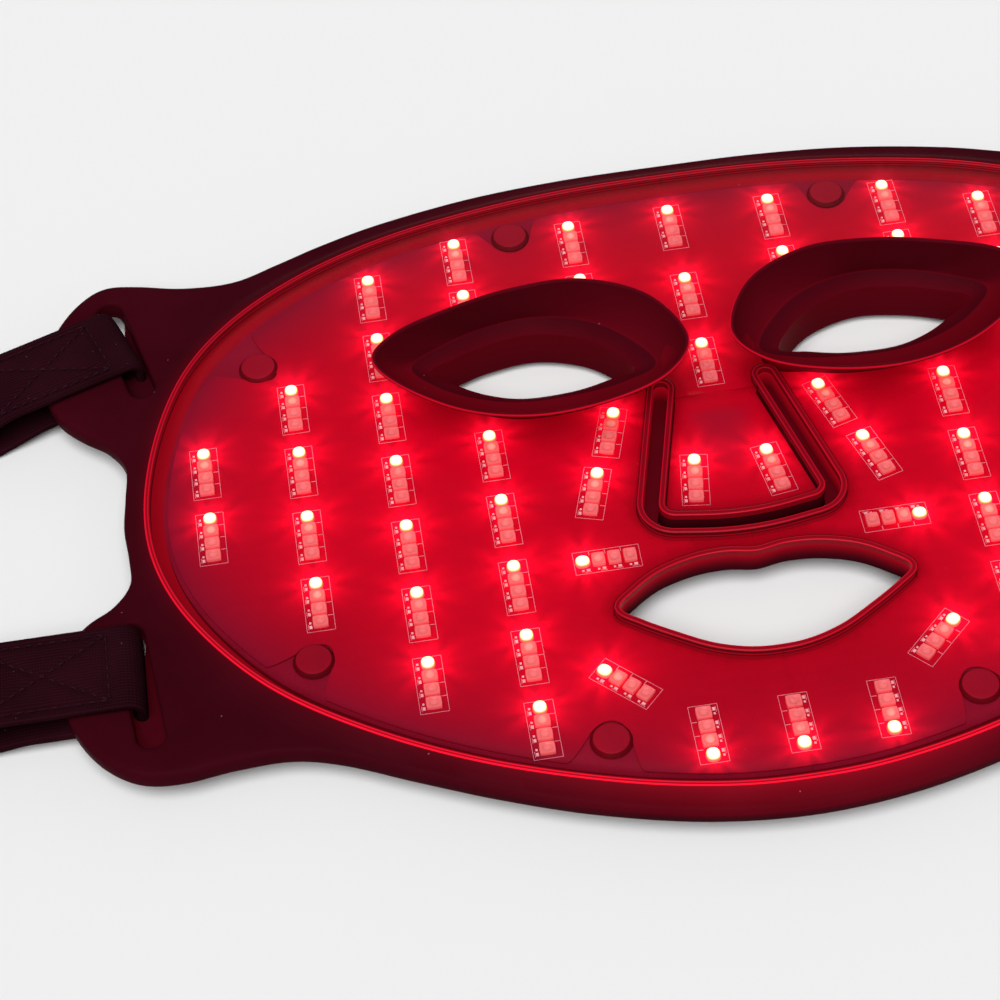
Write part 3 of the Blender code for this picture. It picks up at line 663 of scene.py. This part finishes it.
def knit_paint():
    """Dark knitted strap: ribs along it and rows of loops across, by its "weave" attribute in metres."""
    paint = Paint("knit")
    weave = paint.node("ShaderNodeSeparateXYZ", {"Vector": paint.attribute("weave").outputs["Vector"]})
    along, across = weave.outputs[0], weave.outputs[1]
    wobble = paint.times(paint.math("SUBTRACT", paint.noise(420.0, 2.0), 0.5), 1.6)
    ribs = paint.math("SINE", paint.math("ADD", paint.times(across, 2.0 * math.pi / 0.00075), wobble))
    rows = paint.math("SINE", paint.math("ADD", paint.times(along, 2.0 * math.pi / 0.00062), wobble))
    loops = paint.math("ADD", paint.times(ribs, 0.65), paint.times(rows, 0.35))
    fuzz = paint.noise(3200.0, 3.0)
    height = paint.math("ADD", paint.times(loops, 0.5), paint.times(fuzz, 0.8))
    tone = paint.two_tone((0.0095, 0.0014, 0.0030), (0.0185, 0.0026, 0.0054), 70.0)
    # Painted shade: the knit is darker where its relief is low, between the loops and in the fuzz.
    tone = paint.mix(paint.times(paint.spread(height, 0.2, 1.1), 0.65), tone, (0.034, 0.0048, 0.0098))
    lint = paint.times(paint.dust_and_glint_specks(520.0, 0.07), 0.5)
    paint.base(Base_Color=paint.mix(lint, tone, (0.16, 0.10, 0.12)), Roughness=0.92, Specular_IOR_Level=0.02)
    paint.bump(height, 0.5, 0.00016)
    return paint.material


def hook_paint():
    """Hook strip: rows of tiny hooks."""
    paint = Paint("hook")
    cells = paint.node("ShaderNodeTexVoronoi", {"Vector": paint.place(), "Scale": 900.0})
    tone = paint.mix(cells.outputs["Distance"], (0.035, 0.022, 0.026), (0.010, 0.006, 0.008))
    paint.base(Base_Color=tone, Roughness=0.6, Specular_IOR_Level=0.1)
    paint.bump(cells.outputs["Distance"], 0.9, 0.0006)
    return paint.material


silicone, clear, board = silicone_paint(), window_paint(), board_paint()
foam = plain_paint("foam", (0.21, 0.004, 0.019), (0.27, 0.006, 0.026), 0.85, grain=1500.0, depth=0.0003,
                   Specular_IOR_Level=0.04)
post = plain_paint("post", (0.26, 0.004, 0.016), (0.32, 0.006, 0.021), 0.4, Specular_IOR_Level=0.03)
# Darker copy of the post colour for the posts' side walls: painted shade.
post_side_painted_shade = plain_paint("post_side_painted_shade", (0.1, 0.0006, 0.004), (0.14, 0.001, 0.006), 0.5, Specular_IOR_Level=0.03)
package, printed = package_paint(), print_paint()
pad = plain_paint("pad", (0.80, 0.36, 0.38), (0.95, 0.60, 0.60), 0.32, scale=400.0)
knit, hook = knit_paint(), hook_paint()
thread = plain_paint("thread", (0.016, 0.0034, 0.007), (0.032, 0.0085, 0.015), 0.8, scale=900.0,
                     grain=4000.0, Specular_IOR_Level=0.02)
metal = plain_paint("socket_metal", (0.52, 0.52, 0.54), (0.64, 0.64, 0.66), 0.3, Metallic=1.0)
solder = plain_paint("driver", (0.02, 0.05, 0.03), (0.04, 0.09, 0.05), 0.45)


# ---------------------------------------------------------------- shell

def make_shell():
    """Outer shell: tray, sloping rim, tabs with their slots, and walls round the mouth and nose."""
    wall = 1.4
    around = nose_lines(0.0)[0]
    holes = [MOUTH, nose_lines(0.0, LEDGE)[0], *EYES, *STRAP_HOLES]
    loops = [WINDOW, offset(WINDOW, 0.08), offset(MOUTH, wall), offset(MOUTH, wall + 0.1)]
    loops += [offset(OUTER, -d) for d in (0.15, 0.4, 0.75, 1.2, 1.8)]
    loops += [offset(slot, d) for slot in STRAP_RECESSES for d in (-0.08, 0.0, 0.2, 0.5, 0.9, 1.4)]
    lines = [nose_lines(d)[0] for d in (-0.08, 0.0, wall, wall + 0.1)]
    dots = []
    for d in (0.7, 1.4, 2.1, 3.0, 4.2, 5.6, 7.2):
        ring = offset(WINDOW, d)
        dots.append(ring[distance(ring, OUTER) > 2.2])
    points, faces = triangulated(OUTER, holes, loops, lines, dots, spacing=2.2)
    edge = distance(points, OUTER)
    out = distance(points, WINDOW) * np.where(inside(points, WINDOW), -1.0, 1.0)
    reach = np.maximum(out + edge, 2.0)
    shoulder = np.minimum(0.55 * reach, 7.0)
    shoulder_z = TAB_Z + 0.1 + 0.5 * np.clip((12.0 - reach) / 7.0, 0.0, 1.0)
    fall = 0.5 + 0.5 * np.cos(math.pi * np.clip(out / shoulder, 0.0, 1.0))
    flat = np.clip((out - shoulder) / np.maximum(reach - 1.8 - shoulder, 0.1), 0.0, 1.0)
    top = shoulder_z + (WINDOW_TOP - shoulder_z) * fall + (TAB_Z - shoulder_z) * flat
    top -= round_edge(edge, 1.8, 1.4)
    low = UNDER_Z + round_edge(edge, 1.2, 1.0)
    for slot, hole in zip(STRAP_RECESSES, STRAP_HOLES):
        gap = distance(points, slot)
        sunk = inside(points, slot) & (gap > 0.04)
        top = np.where(sunk, LEDGE_Z - 0.1, top - round_edge(gap, 1.4, 0.9))
        low += round_edge(distance(points, hole), 0.5, 0.2)
    tray = out < 0.04
    top[tray] = TRAY_Z
    near = np.minimum(distance(points, MOUTH), distance(points, around, closed=False))
    top[tray & (near < wall + 0.04)] = WINDOW_LOW - 0.05
    top[inside(points, around) & (distance(points, around, closed=False) > 0.04)] = LEDGE_Z
    low += round_edge(near, 0.8, 0.5) * (edge > 3.0) * (top > LEDGE_Z + 0.5)
    # Painted glow in the silicone: along the window, stronger towards the chin and the middle; the tray and
    # ledge glow evenly, and the closed floors of the lower strap slots glow dim red.
    near_side = np.interp(points[:, 1], [-122.0, -60.0], [1.0, 0.35])
    near_side *= np.interp(np.abs(points[:, 0]), [20.0, 80.0], [1.0, 0.3])
    lit = 0.16 * np.exp(-np.maximum(out, 0.0) / 3.0) + 0.32 * near_side * np.exp(-np.maximum(out, 0.0) / 13.0)
    lit = np.where(tray, np.where(top == LEDGE_Z, 0.24, 0.54), lit)
    lit = np.where((top == LEDGE_Z - 0.1) & (points[:, 1] < -40.0), 0.13, lit)
    halves("mask_shell", points, faces, top, low, silicone, {"lit": (lit, 0.0)}, "outer_shell")


def make_foam_and_board():
    """Foam layer, and the circuit with its edge stepping in around each post."""
    grown = [offset(MOUTH, 1.6), nose_lines(1.5)[0]] + [offset(eye, 0.3) for eye in EYES]
    points, faces = triangulated(offset(WINDOW, -4.0), grown, spacing=4.0)
    halves("foam_layer", points, faces, FOAM_TOP, FOAM_LOW, foam, {}, "foam_sheet")

    edge = spaced(offset(WINDOW, -5.0), 0.5)
    inwards = np.zeros(len(edge))
    for x, y in [(side * x, y) for x, y in POSTS.values() for side in (1, -1)]:
        arm = edge - (x, y)
        foot = np.argmin(np.hypot(arm[:, 0], arm[:, 1]))
        gap = np.hypot(*(edge[foot] - (x, y)))
        run = np.abs(np.linalg.norm(edge - edge[foot], axis=1))
        inwards = np.maximum(inwards, (gap + 5.2) * np.sqrt(np.clip(1.0 - (run / 6.4) ** 2, 0.0, 1.0)))
    soft = np.convolve(np.concatenate([inwards[-3:], inwards, inwards[:3]]), np.ones(7) / 7.0, "valid")
    edge = offset(edge, -soft)
    rings = around_lights((0.1, 4), (1.2, 9), (2.2, 14), (3.2, 24), (4.6, 30), (6.2, 36))
    points, faces = triangulated(edge, grown, dots=rings, spacing=1.7)
    shade = 0.85 * np.exp(-np.maximum(distance(points, WINDOW) - 5.0, 0.0) / 11.0)
    shine = board_glow(points) * (1.0 - 0.5 * shade)
    halves("light_board", points, faces, BOARD_TOP, BOARD_LOW, board,
           {"glow": (shine, 0.0), "shade": (shade, 0.0)}, "flex_circuit")
    points, faces = triangulated(nose_lines(1.5)[1], [], dots=rings, spacing=1.5)
    arch = np.exp(-np.hypot(points[:, 0] / 6.5, np.maximum(-24.0 - points[:, 1], 0.0) / 14.0) ** 4)
    arch *= np.clip((-19.0 - points[:, 1]) / 2.5, 0.0, 1.0)
    flap_slab("flap_board", points, faces, BOARD_TOP, BOARD_LOW, board,
              {"glow": (board_glow(points), 0.0), "shade": (0.55 * arch, 0.0)}, "flap_circuit")


# Distance in from an edge, then how lit, solid and dim the window is there, and its rise
RIM_BANDS = np.array([
    (0.0, 0.45, 1.0, 0.0, 0.0), (0.08, 0.95, 1.0, 0.0, 0.1), (0.34, 0.95, 1.0, 0.0, 0.16),
    (0.44, 0.42, 1.0, 0.0, 0.1), (0.78, 0.42, 1.0, 0.0, 0.08), (0.86, 0.8, 1.0, 0.0, 0.12),
    (1.06, 0.8, 1.0, 0.0, 0.12), (1.18, 0.3, 1.0, 0.2, 0.02), (1.4, 0.22, 1.0, 0.3, 0.0),
    (1.48, 0.1, 0.0, 0.32, 0.0), (2.6, 0.0, 0.0, 0.24, -0.03), (3.8, 0.0, 0.0, 0.1, -0.03),
    (4.6, 0.0, 0.0, 0.0, 0.0)])
LIP_BANDS = np.array([
    (0.0, 0.3, 1.0, 0.0, 0.0), (0.06, 0.62, 1.0, 0.0, 0.08), (0.24, 0.62, 1.0, 0.0, 0.16),
    (0.34, 0.3, 1.0, 0.0, 0.2), (0.95, 0.26, 1.0, 0.0, 0.2), (1.05, 0.56, 1.0, 0.0, 0.2),
    (1.2, 0.56, 1.0, 0.0, 0.14), (1.32, 0.22, 1.0, 0.3, 0.03), (1.5, 0.05, 1.0, 0.4, 0.0),
    (1.58, 0.0, 0.0, 0.45, 0.0), (2.3, 0.0, 0.0, 0.25, -0.03), (2.6, 0.0, 0.0, 0.3, -0.03),
    (3.6, 0.0, 0.0, 0.0, 0.0)])
# A window's underside keeps only the lit and solid shares of its film
FILM_UNDER = (0.0, 1.0, 1.0, 0.0)


def banded(gap, bands):
    """Lit, solid, dim and rise at each distance from an edge."""
    return [np.interp(gap, bands[:, 0], bands[:, k]) for k in range(1, 5)]


def window_film(points, edges):
    """Film attribute and top height of a window: edges pairs a distance with its bands."""
    lit, solid, dim, rise = (np.zeros(len(points)) for _ in range(4))
    for gap, bands in edges:
        here = banded(gap, bands)
        lit, solid, dim = np.maximum(lit, here[0]), np.maximum(solid, here[1]), np.maximum(dim, here[2])
        rise += here[3]
    # Painted glow on the lines: brighter towards the chin and the right, fainter towards the forehead.
    lit *= np.interp(points[:, 1] - 0.2 * points[:, 0], [-90.0, 40.0], [1.0, 0.55])
    halo = np.clip(0.13 * (glow(points) - 0.25), 0.0, 0.35)
    return np.column_stack([halo, lit, solid, dim]), WINDOW_TOP + rise


def make_windows():
    """Clear face sheet with lit edge beads and raised lips, and the flap's own window."""
    around, flap = nose_lines(0.0)
    loops = [offset(WINDOW, -d) for d in RIM_BANDS[1:, 0]] + [offset(MOUTH, d) for d in LIP_BANDS[1:-1, 0]]
    lines = [nose_lines(d)[0] for d in LIP_BANDS[1:-1, 0]]
    rings = around_lights((0.1, 4), (1.6, 10), (3.0, 16), (4.6, 20))
    points, faces = triangulated(WINDOW, [MOUTH, around, *EYES], loops, lines, rings, spacing=2.2)
    film, top = window_film(points, [(distance(points, WINDOW), RIM_BANDS),
                                     (distance(points, MOUTH), LIP_BANDS),
                                     (distance(points, around, closed=False), LIP_BANDS)])
    halves("face_window", points, faces, top, WINDOW_LOW, clear, {"film": (film, FILM_UNDER)}, "clear_window")
    lines = [nose_lines(d)[1] for d in LIP_BANDS[1:-1, 0]]
    points, faces = triangulated(flap, [], lines=lines, dots=rings, spacing=1.8)
    film, top = window_film(points, [(distance(points, flap, closed=False), LIP_BANDS)])
    flap_slab("flap_face", points, faces, top, WINDOW_LOW, clear, {"film": (film, FILM_UNDER)}, "flap_window")


def make_flap_body():
    """The nose flap's shell: a shallow tray with a rounded lower edge."""
    flap = nose_lines(0.0)[1]
    lines = [nose_lines(d)[1] for d in (0.15, 0.5, 1.0, 1.6, 1.7)]
    points, faces = triangulated(flap, [], lines=lines, spacing=2.2)
    gap = distance(points, flap, closed=False)
    top = np.where(gap < 1.65, WINDOW_LOW - 0.05, BOARD_LOW - 0.3)
    low = UNDER_Z + round_edge(gap, 1.2, 0.8)
    lit = np.full(len(points), 0.12)
    flap_slab("flap_body", points, faces, top, low, silicone, {"lit": (lit, 0.0)}, "flap_shell")


# ---------------------------------------------------------------- cups and posts

def ring_mesh(name, sections, paints, close, attributes=None, sharp=35.0):
    """Loft through matching rings of (loop, height).  close joins the last ring to the first."""
    made = mesh_piece(name, stacked(sections), loft_faces(len(sections[0][0]), len(sections), close), paints,
                      attributes, sharp=sharp)
    face_outwards(made)
    made.data.set_sharp_from_angle(angle=math.radians(sharp))
    return made


def make_cup(label, side):
    """Flared eye cup with a thin lit line around its rim and a bowl that steps down to the opening."""
    hole, crease, rim = (eye_loop(points, side) for points in (EYE_HOLE, EYE_CREASE, EYE_RIM))
    neck, lip = offset(hole, CUP_WALL), offset(rim, -0.4)
    rise = CUP_TOP - WINDOW_TOP
    flange = ((5.7, 0.0), (6.3, 0.25), (6.5, 0.8), (6.5, UNDER_Z - 0.5), (6.3, UNDER_Z - 0.3))
    rings = [(offset(hole, out), z, 0.0) for out, z in flange]
    rings += [(neck, UNDER_Z - 0.3, 0.0), (neck, WINDOW_TOP, 0.42)]
    for share in (0.12, 0.26, 0.42, 0.58, 0.74, 0.88):
        height = WINDOW_TOP + (rise - 1.0) * share ** 1.12
        rings.append((neck + (lip - neck) * share, height, 0.40 - 0.22 * share))
    bead = ((0.22, 0.75, 0.20), (0.14, 0.50, 0.25), (0.12, 0.30, 0.62), (0.25, 0.10, 0.78), (0.36, 0.0, 0.66),
            (0.46, 0.01, 0.30), (0.95, 0.10, 0.20), (1.2, 0.35, 0.16))
    rings += [(offset(rim, -back), CUP_TOP - down, glare) for back, down, glare in bead]
    inner = offset(rim, -1.2)
    bowl = []
    for t in np.linspace(0.08, 1.0, 11):
        bowl.append(len(rings))
        plan = 0.62 * t + 0.38 * (1.0 - math.cos(t * math.pi / 2.0))
        height = 0.62 * t + 0.38 * math.sin(t * math.pi / 2.0)
        rings.append((inner + (crease - inner) * plan, CUP_TOP - 0.35 - (rise - 2.35) * height, 0.0))
    rings += [(crease + (hole - crease) * share, WINDOW_TOP + z, glare)
              for share, z, glare in ((0.1, 1.86, 0.14), (0.55, 0.85, 0.18))]
    bore = ((0.35, WINDOW_TOP + 0.1, 0.22), (0.0, WINDOW_TOP - 0.35, 0.24), (0.0, 7.0, 0.22),
            (0.0, 2.0, 0.18), (0.9, 0.9, 0.0), (2.5, 0.0, 0.0))
    rings += [(offset(hole, out), z, glare) for out, z, glare in bore]
    lit = np.repeat([ring[2] for ring in rings], len(hole))
    made = ring_mesh("cup_" + label, [ring[:2] for ring in rings], [silicone], True, {"lit": lit}, sharp=28.0)
    up = np.zeros(len(made.data.vertices) * 3, np.float32)
    made.data.vertices.foreach_get("normal", up)
    first, last = bowl[0] * len(hole), (bowl[-1] + 1) * len(hole)
    # Painted glow in the bowl, stronger where it faces up.
    lit[first:last] = 0.15 + 0.16 * np.clip(up.reshape(-1, 3)[first:last, 2], 0.0, 1.0)
    made.data.attributes["lit"].data.foreach_set("value", lit.astype(np.float32))
    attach(made, "mask_centre")
    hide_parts("eye_cup_" + label)


def make_posts():
    """Round posts that pin the circuit."""
    for name, (x, y) in POSTS.items():
        for label, side in (("left", -1), ("right", 1)):
            node = f"rivet_{name}_{label}"
            low, high = (corner.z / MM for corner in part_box(node))
            head = ((2.0, -1.1), (4.55, -1.05), (4.5, -0.9), (4.1, -0.35), (3.85, -0.08), (3.6, 0.0),
                    (3.0, 0.02), (1.5, 0.04))
            shape = [(2.0, low)] + [(r, high + rise) for r, rise in head]
            made = ring_mesh("post_" + node[6:], [(circle(side * x, y, r, 40), z) for r, z in shape],
                             [post, post_side_painted_shade], False)
            # Faces below the top take the darker copy: painted shade on each post's side wall.
            for polygon in made.data.polygons:
                polygon.material_index = int(polygon.center.z < (high - 0.1) * MM)
            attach(made, ("cheek_" + label) if name in ("temple", "jaw") else "mask_centre")
            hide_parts(node)


# ---------------------------------------------------------------- light packages

def rounded_square(width, depth, sides=16, power=7.0):
    """Nearly square outline, its points matching a circle's."""
    turn = np.arange(sides) * 2.0 * math.pi / sides
    c, s = np.cos(turn), np.sin(turn)
    reach = (np.abs(c) ** power + np.abs(s) ** power) ** (-1.0 / power)
    return np.stack([width / 2.0 * c * reach, depth / 2.0 * s * reach], axis=1)


def plate(u0, u1, v0, v1, low, high, slot):
    """Small flat block that doesn't shine, in its place in the cluster."""
    corners = [(u0, v0), (u1, v0), (u1, v1), (u0, v1)]
    points = np.array([(*c, low) for c in corners] + [(*c, high) for c in corners])
    faces = [(3, 2, 1, 0), (4, 5, 6, 7), (0, 1, 5, 4), (1, 2, 6, 5), (2, 3, 7, 6), (3, 0, 4, 7)]
    return points, faces, slot, 0.0, 0.0


def stacked(rings):
    """Points of matching rings of (loop, height)."""
    return np.vstack([np.column_stack([loop, np.full(len(loop), z)]) for loop, z in rings])


def make_strip(name, clusters, body):
    """One strip: four packages to a cluster, the first one lit, on a printed outline with its pads."""
    seat, top = BOARD_TOP, PACKAGE_TOP
    square, lens = rounded_square(2.9, 3.4, power=11.0), circle(0.0, 0.0, 1.08, 16)
    wide = rounded_square(3.3, 3.05, power=2.5)
    line = 0.05
    ends, sides, flat = (-1.9, 12.75), (-3.0, 3.15), (seat + 0.005, seat + 0.035)
    blocks = []
    for x, y, heading in clusters:
        parts = []
        for i in range(4):
            vary = 1.0 if i == 0 else 0.6 + 0.8 * abs(math.sin(7.1 * x + 3.3 * y))
            warm = (1.0, 0.09, 0.04, 0.03)[i] * vary
            rings = [(square * 0.98, seat), (square, seat + 0.15), (square, top - 0.14), (square * 0.94, top),
                     (lens, top), (lens * 0.88, top - 0.12), (lens * 0.5, top - 0.1),
                     (lens * 0.12, top - 0.09)]
            cores = (0.0, 0.0, 0.05, 0.1, 0.32, 0.5, 0.85, 1.0)
            if i == 0:
                rings = [(wide * 1.05, seat + 0.02), (wide, seat + 0.35), (wide * 0.93, top - 0.25),
                         (wide * 0.82, top), (wide * 0.6, top + 0.1), (wide * 0.4, top + 0.13),
                         (wide * 0.12, top + 0.14)]
                cores = (0.0, 0.18, 0.40, 0.62, 0.9, 1.0, 1.0)
            points = stacked(rings) + (PACKAGE_PITCH * i, 0.0, 0.0)
            parts.append((points, loft_faces(len(lens), len(rings)), 0, np.repeat(cores, len(lens)), warm))
        parts += [plate(*ends, v - line, v + line, *flat, 1) for v in sides]
        parts += [plate(u - line, u + line, *sides, *flat, 1) for u in ends]
        for i in range(4):
            u = PACKAGE_PITCH * i
            if i:
                parts.append(plate(u - 1.85, u - 1.72, -3.0, -1.75, *flat, 1))
            parts += [plate(u + 0.55, u + 1.35, 1.95, 2.55, seat, seat + 0.12, 2),
                      plate(u - 0.45, u + 0.05, 2.05, 2.5, seat, seat + 0.08, 2),
                      plate(u + 0.15, u + 1.6, 2.68, 2.78, *flat, 1)]
        turn = math.radians(heading)
        u_axis = np.array([math.cos(turn), math.sin(turn)])
        v_axis = np.array([math.sin(turn), -math.cos(turn)])
        for points, faces, slot, core, warm in parts:
            plan = np.array([x, y]) + np.outer(points[:, 0], u_axis) + np.outer(points[:, 1], v_axis)
            blocks.append((np.column_stack([plan, points[:, 2]]), faces, slot, core, warm))
    firsts = np.cumsum([0] + [len(block[0]) for block in blocks])
    points = np.vstack([block[0] for block in blocks])
    faces = [[first + i for i in face[::-1]] for first, block in zip(firsts, blocks) for face in block[1]]
    slots = [block[2] for block in blocks for _ in block[1]]
    core, warm = [np.concatenate([np.broadcast_to(block[k], len(block[0])) for block in blocks])
                  for k in (3, 4)]
    attributes = {"core": core, "warm": warm, "glow": np.clip(glow(points[:, :2]), 0.0, 1.6)}
    made = mesh_piece(name.replace("led_", "lights_"), points, faces, [package, printed, pad], attributes,
                      slots, sharp=50.0)
    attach(made, body)
    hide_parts(name)


# ---------------------------------------------------------------- straps

def strap_path():
    """Middle line of the webbing as run and height: out of the tail, through the slot and back over."""
    half = STRAP_THICK / 2.0
    under, over = UNDER_Z - 0.3 - half, TAB_Z + 0.3 + half
    corners = [(TAIL_END, half, 0.0), (37.5, half, 14.0), (25.0, under, 14.0), (FOLD_RUN, under, 2.2),
               (FOLD_RUN, over, 2.9), (33.0, over, 16.0), (50.0, 3.0 * half, 14.0), (72.0, 3.0 * half, 0.0)]
    return spaced(rounded_path(corners, 10), 0.7, closed=False)


def make_strap(label):
    """Knitted strap, folded through its slot, with a box and cross of stitching on the upper layer."""
    (cx, cy), heading, width = STRAPS[label]
    path = strap_path()
    along = headings(path)
    out = np.stack([-along[:, 1], along[:, 0]], axis=1)
    length = np.concatenate([[0.0], np.cumsum(np.linalg.norm(np.diff(path, axis=0), axis=1))])
    fold = np.argmin(np.abs(path[:, 0]) + np.abs(path[:, 1] - 8.0))
    half_w, half_t = width / 2.0, STRAP_THICK / 2.0
    flat_w = half_w - EDGE_ROUND
    across = np.linspace(-flat_w, flat_w, 30)
    turn = np.linspace(-math.pi / 2, math.pi / 2, 7)[1:-1]
    section = [(v, half_t) for v in across]
    section += [(flat_w + EDGE_ROUND * math.cos(a), -half_t * math.sin(a)) for a in turn]
    section += [(v, -half_t) for v in across[::-1]]
    section += [(-flat_w - EDGE_ROUND * math.cos(a), half_t * math.sin(a)) for a in turn]
    section = np.array(section)
    box_from, box_to, inset = 6.0, 34.0, half_w - 2.3
    a, b, c, d = [(run, v) for v in (-inset, inset) for run in (box_from, box_to)]
    seams = [np.array(ends) for ends in ((a, b), (c, d), (a, c), (b, d), (a, d), (c, b))]
    points, weave = [], []
    for k, (spot, normal) in enumerate(zip(path, out)):
        v, n = section[:, 0], section[:, 1].copy()
        on_top = (k > fold) & (n > half_t - 0.01)
        run = np.full(len(v), spot[0])
        gap = np.min([distance(np.column_stack([run, v]), seam, closed=False) for seam in seams], axis=0)
        inside_box = (run > box_from - 3.0) & (run < box_to + 3.0)
        n = n - np.where(on_top & inside_box, 0.70 * np.exp(-(gap / 0.85) ** 2), 0.0)
        n = n - 0.15 * np.exp(-((half_w - np.abs(v)) / 2.0) ** 2) * np.sign(n)
        here = spot + normal * n[:, None]
        points.append(np.column_stack([here[:, 0], v, here[:, 1]]))
        under = np.where(section[:, 1] > 0, 0.0, 40.0)
        weave.append(np.column_stack([np.full(len(v), length[k]), v + under]))
    points, weave = np.vstack(points), np.vstack(weave) * MM
    faces = loft_faces(len(section), len(path))
    tops, tops_out, tops_along = path[fold:], out[fold:], headings(path[fold:])

    def on_strap(run, v, lift):
        """Point on the upper layer."""
        gap = np.where(tops[:, 1] > 3.0, np.abs(tops[:, 0] - run), 1e9) + np.where(tops[:, 0] < 0.4, 1e3, 0.0)
        k = np.argmin(gap)
        x, z = tops[k] + tops_out[k] * (half_t + lift) + (run - tops[k][0]) * tops_along[k]
        return np.array([x, v, z])

    stitches, stitch_faces = [], []
    up, ring_turn = np.array([0.0, 0.0, 1.0]), np.arange(6) * math.pi / 3.0
    for seam in seams:
        total = np.linalg.norm(seam[1] - seam[0])
        number = max(3, round(total / 2.5))
        for i in range(number):
            a, b = (seam[0] + (seam[1] - seam[0]) * (i + t) / number for t in (0.14, 0.80))
            low = on_strap(*a, -0.58), on_strap(*(a + (b - a) * 0.5), -0.34), on_strap(*b, -0.58)
            side = np.cross(low[2] - low[0], up)
            side /= max(np.linalg.norm(side), 1e-9)
            first = len(points) + len(stitches)
            centres = (low[0], 0.6 * low[0] + 0.4 * low[1], low[1], 0.6 * low[2] + 0.4 * low[1], low[2])
            for centre, r in zip(centres, (0.05, 0.21, 0.24, 0.21, 0.05)):
                stitches += [centre + r * (side * math.cos(t) + up * math.sin(t)) for t in ring_turn]
            stitch_faces += [tuple(first + corner for corner in face) for face in loft_faces(6, 5)]
    points = np.vstack([points, np.array(stitches)])
    weave = np.vstack([weave, np.zeros((len(stitches), 2))])
    slots = [0] * len(faces) + [1] * len(stitch_faces)
    faces += stitch_faces
    spin = math.radians(heading)
    c, s = math.cos(spin), math.sin(spin)
    run, v = points[:, 0], points[:, 1]
    plan = np.column_stack([cx + run * c - v * s, cy + run * s + v * c, points[:, 2]])
    colour = np.column_stack([weave, np.zeros(len(weave)), np.ones(len(weave))])
    made = mesh_piece(f"webbing_{label}", plan, faces, [knit, thread], {"weave": colour}, slots, sharp=60.0)
    face_outwards(made)

    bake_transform(made)
    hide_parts(f"strap_{label}_loop", f"strap_{label}_tail")


# ---------------------------------------------------------------- everything

make_shell()
make_foam_and_board()
make_windows()
make_flap_body()
for eye_label, eye_side in (("right", 1), ("left", -1)):
    make_cup(eye_label, eye_side)
make_posts()
bodies = frame["record"]["behaviour"]["bodies"]
body_of_node = {node: body for body, nodes in bodies.items() for node in nodes}
for strip, clusters in STRIPS.items():
    make_strip(strip, clusters, body_of_node[strip])
for strap_label in STRAPS:
    make_strap(strap_label)
for node, paint in (("inlet_housing", silicone), ("inlet_socket", metal), ("driver_board", solder),
                    ("strap_upper_hook_patch", hook), ("strap_lower_hook_patch", hook)):
    for material_slot in frame["nodes"][node].material_slots:
        material_slot.material = paint


# ---------------------------------------------------------------- studio

def make_floor():
    """Plain pale floor."""
    mesh = bpy.data.meshes.new("floor")
    corners = [(-3.0, -3.0, 0.0), (3.0, -3.0, 0.0), (3.0, 3.0, 0.0), (-3.0, 3.0, 0.0)]
    mesh.from_pydata(corners, [], [(0, 1, 2, 3)])
    paint = Paint("floor")
    paint.base(Base_Color=(0.80, 0.80, 0.80), Roughness=0.9, Specular_IOR_Level=0.1)
    mesh.materials.append(paint.material)
    new_object("floor", mesh)


def make_light(name, place, target, size, power):
    """Square softbox."""
    data = bpy.data.lights.new(name, "AREA")
    data.shape, data.size, data.energy = "SQUARE", size, power
    made = new_object(name, data)
    made.location = place
    made.rotation_mode = "QUATERNION"
    made.rotation_quaternion = (Vector(target) - Vector(place)).to_track_quat("-Z", "Y")


def make_camera():
    """The photograph's view: 50 degrees above the mask, a little to its left."""
    azimuth, elevation, roll = math.radians(-4.536), math.radians(50.492), math.radians(-4.682)
    target = Vector((-52.66, BRIDGE_Y - 38.09, 10.0)) * MM
    back = Vector((math.sin(azimuth) * math.cos(elevation), -math.cos(azimuth) * math.cos(elevation),
                   math.sin(elevation)))
    right = Vector((math.cos(azimuth), math.sin(azimuth), 0.0))
    up = back.cross(right)
    turned_right = right * math.cos(roll) + up * math.sin(roll)
    turned_up = up * math.cos(roll) - right * math.sin(roll)
    data = bpy.data.cameras.new("camera")
    data.lens, data.sensor_width = 100.8, 36.0
    data.clip_start, data.clip_end = 0.01, 50.0
    camera = new_object("camera", data)
    camera.rotation_mode = "QUATERNION"
    camera.rotation_quaternion = Matrix((turned_right, turned_up, back)).transposed().to_quaternion()
    camera.location = target + back * 621.76 * MM
    bpy.context.scene.camera = camera


def make_sky():
    """Soft overhead light that is dark where the window mirrors it towards the camera."""
    world = bpy.data.worlds.new("studio")
    bpy.context.scene.world = world
    world.use_nodes = True
    nodes, links = world.node_tree.nodes, world.node_tree.links
    direction = nodes.new("ShaderNodeTexCoord")
    height = nodes.new("ShaderNodeSeparateXYZ")
    links.new(direction.outputs["Generated"], height.inputs[0])
    ramp = nodes.new("ShaderNodeValToRGB")
    links.new(height.outputs["Z"], ramp.inputs["Fac"])
    greys = ((0.0, 0.30), (0.50, 0.26), (0.68, 0.22), (0.735, 0.02), (0.83, 0.02), (0.87, 0.20), (1.0, 0.4))
    fill_ramp(ramp.color_ramp, [(position, (grey, grey, grey)) for position, grey in greys])
    links.new(ramp.outputs["Color"], nodes["Background"].inputs["Color"])
    nodes["Background"].inputs["Strength"].default_value = 1.0
    data = bpy.data.lights.new("overhead", "SUN")
    data.energy, data.angle = 3.05, math.radians(50.0)
    new_object("overhead", data).rotation_euler = (math.radians(25.0), math.radians(-9.0), 0.0)


make_floor()
make_sky()
make_light("back", (0.35, 1.5, 0.42), (0.0, 0.05, 0.0), 0.9, 1.2)
bpy.context.scene.view_settings.view_transform = "Standard"
make_camera()
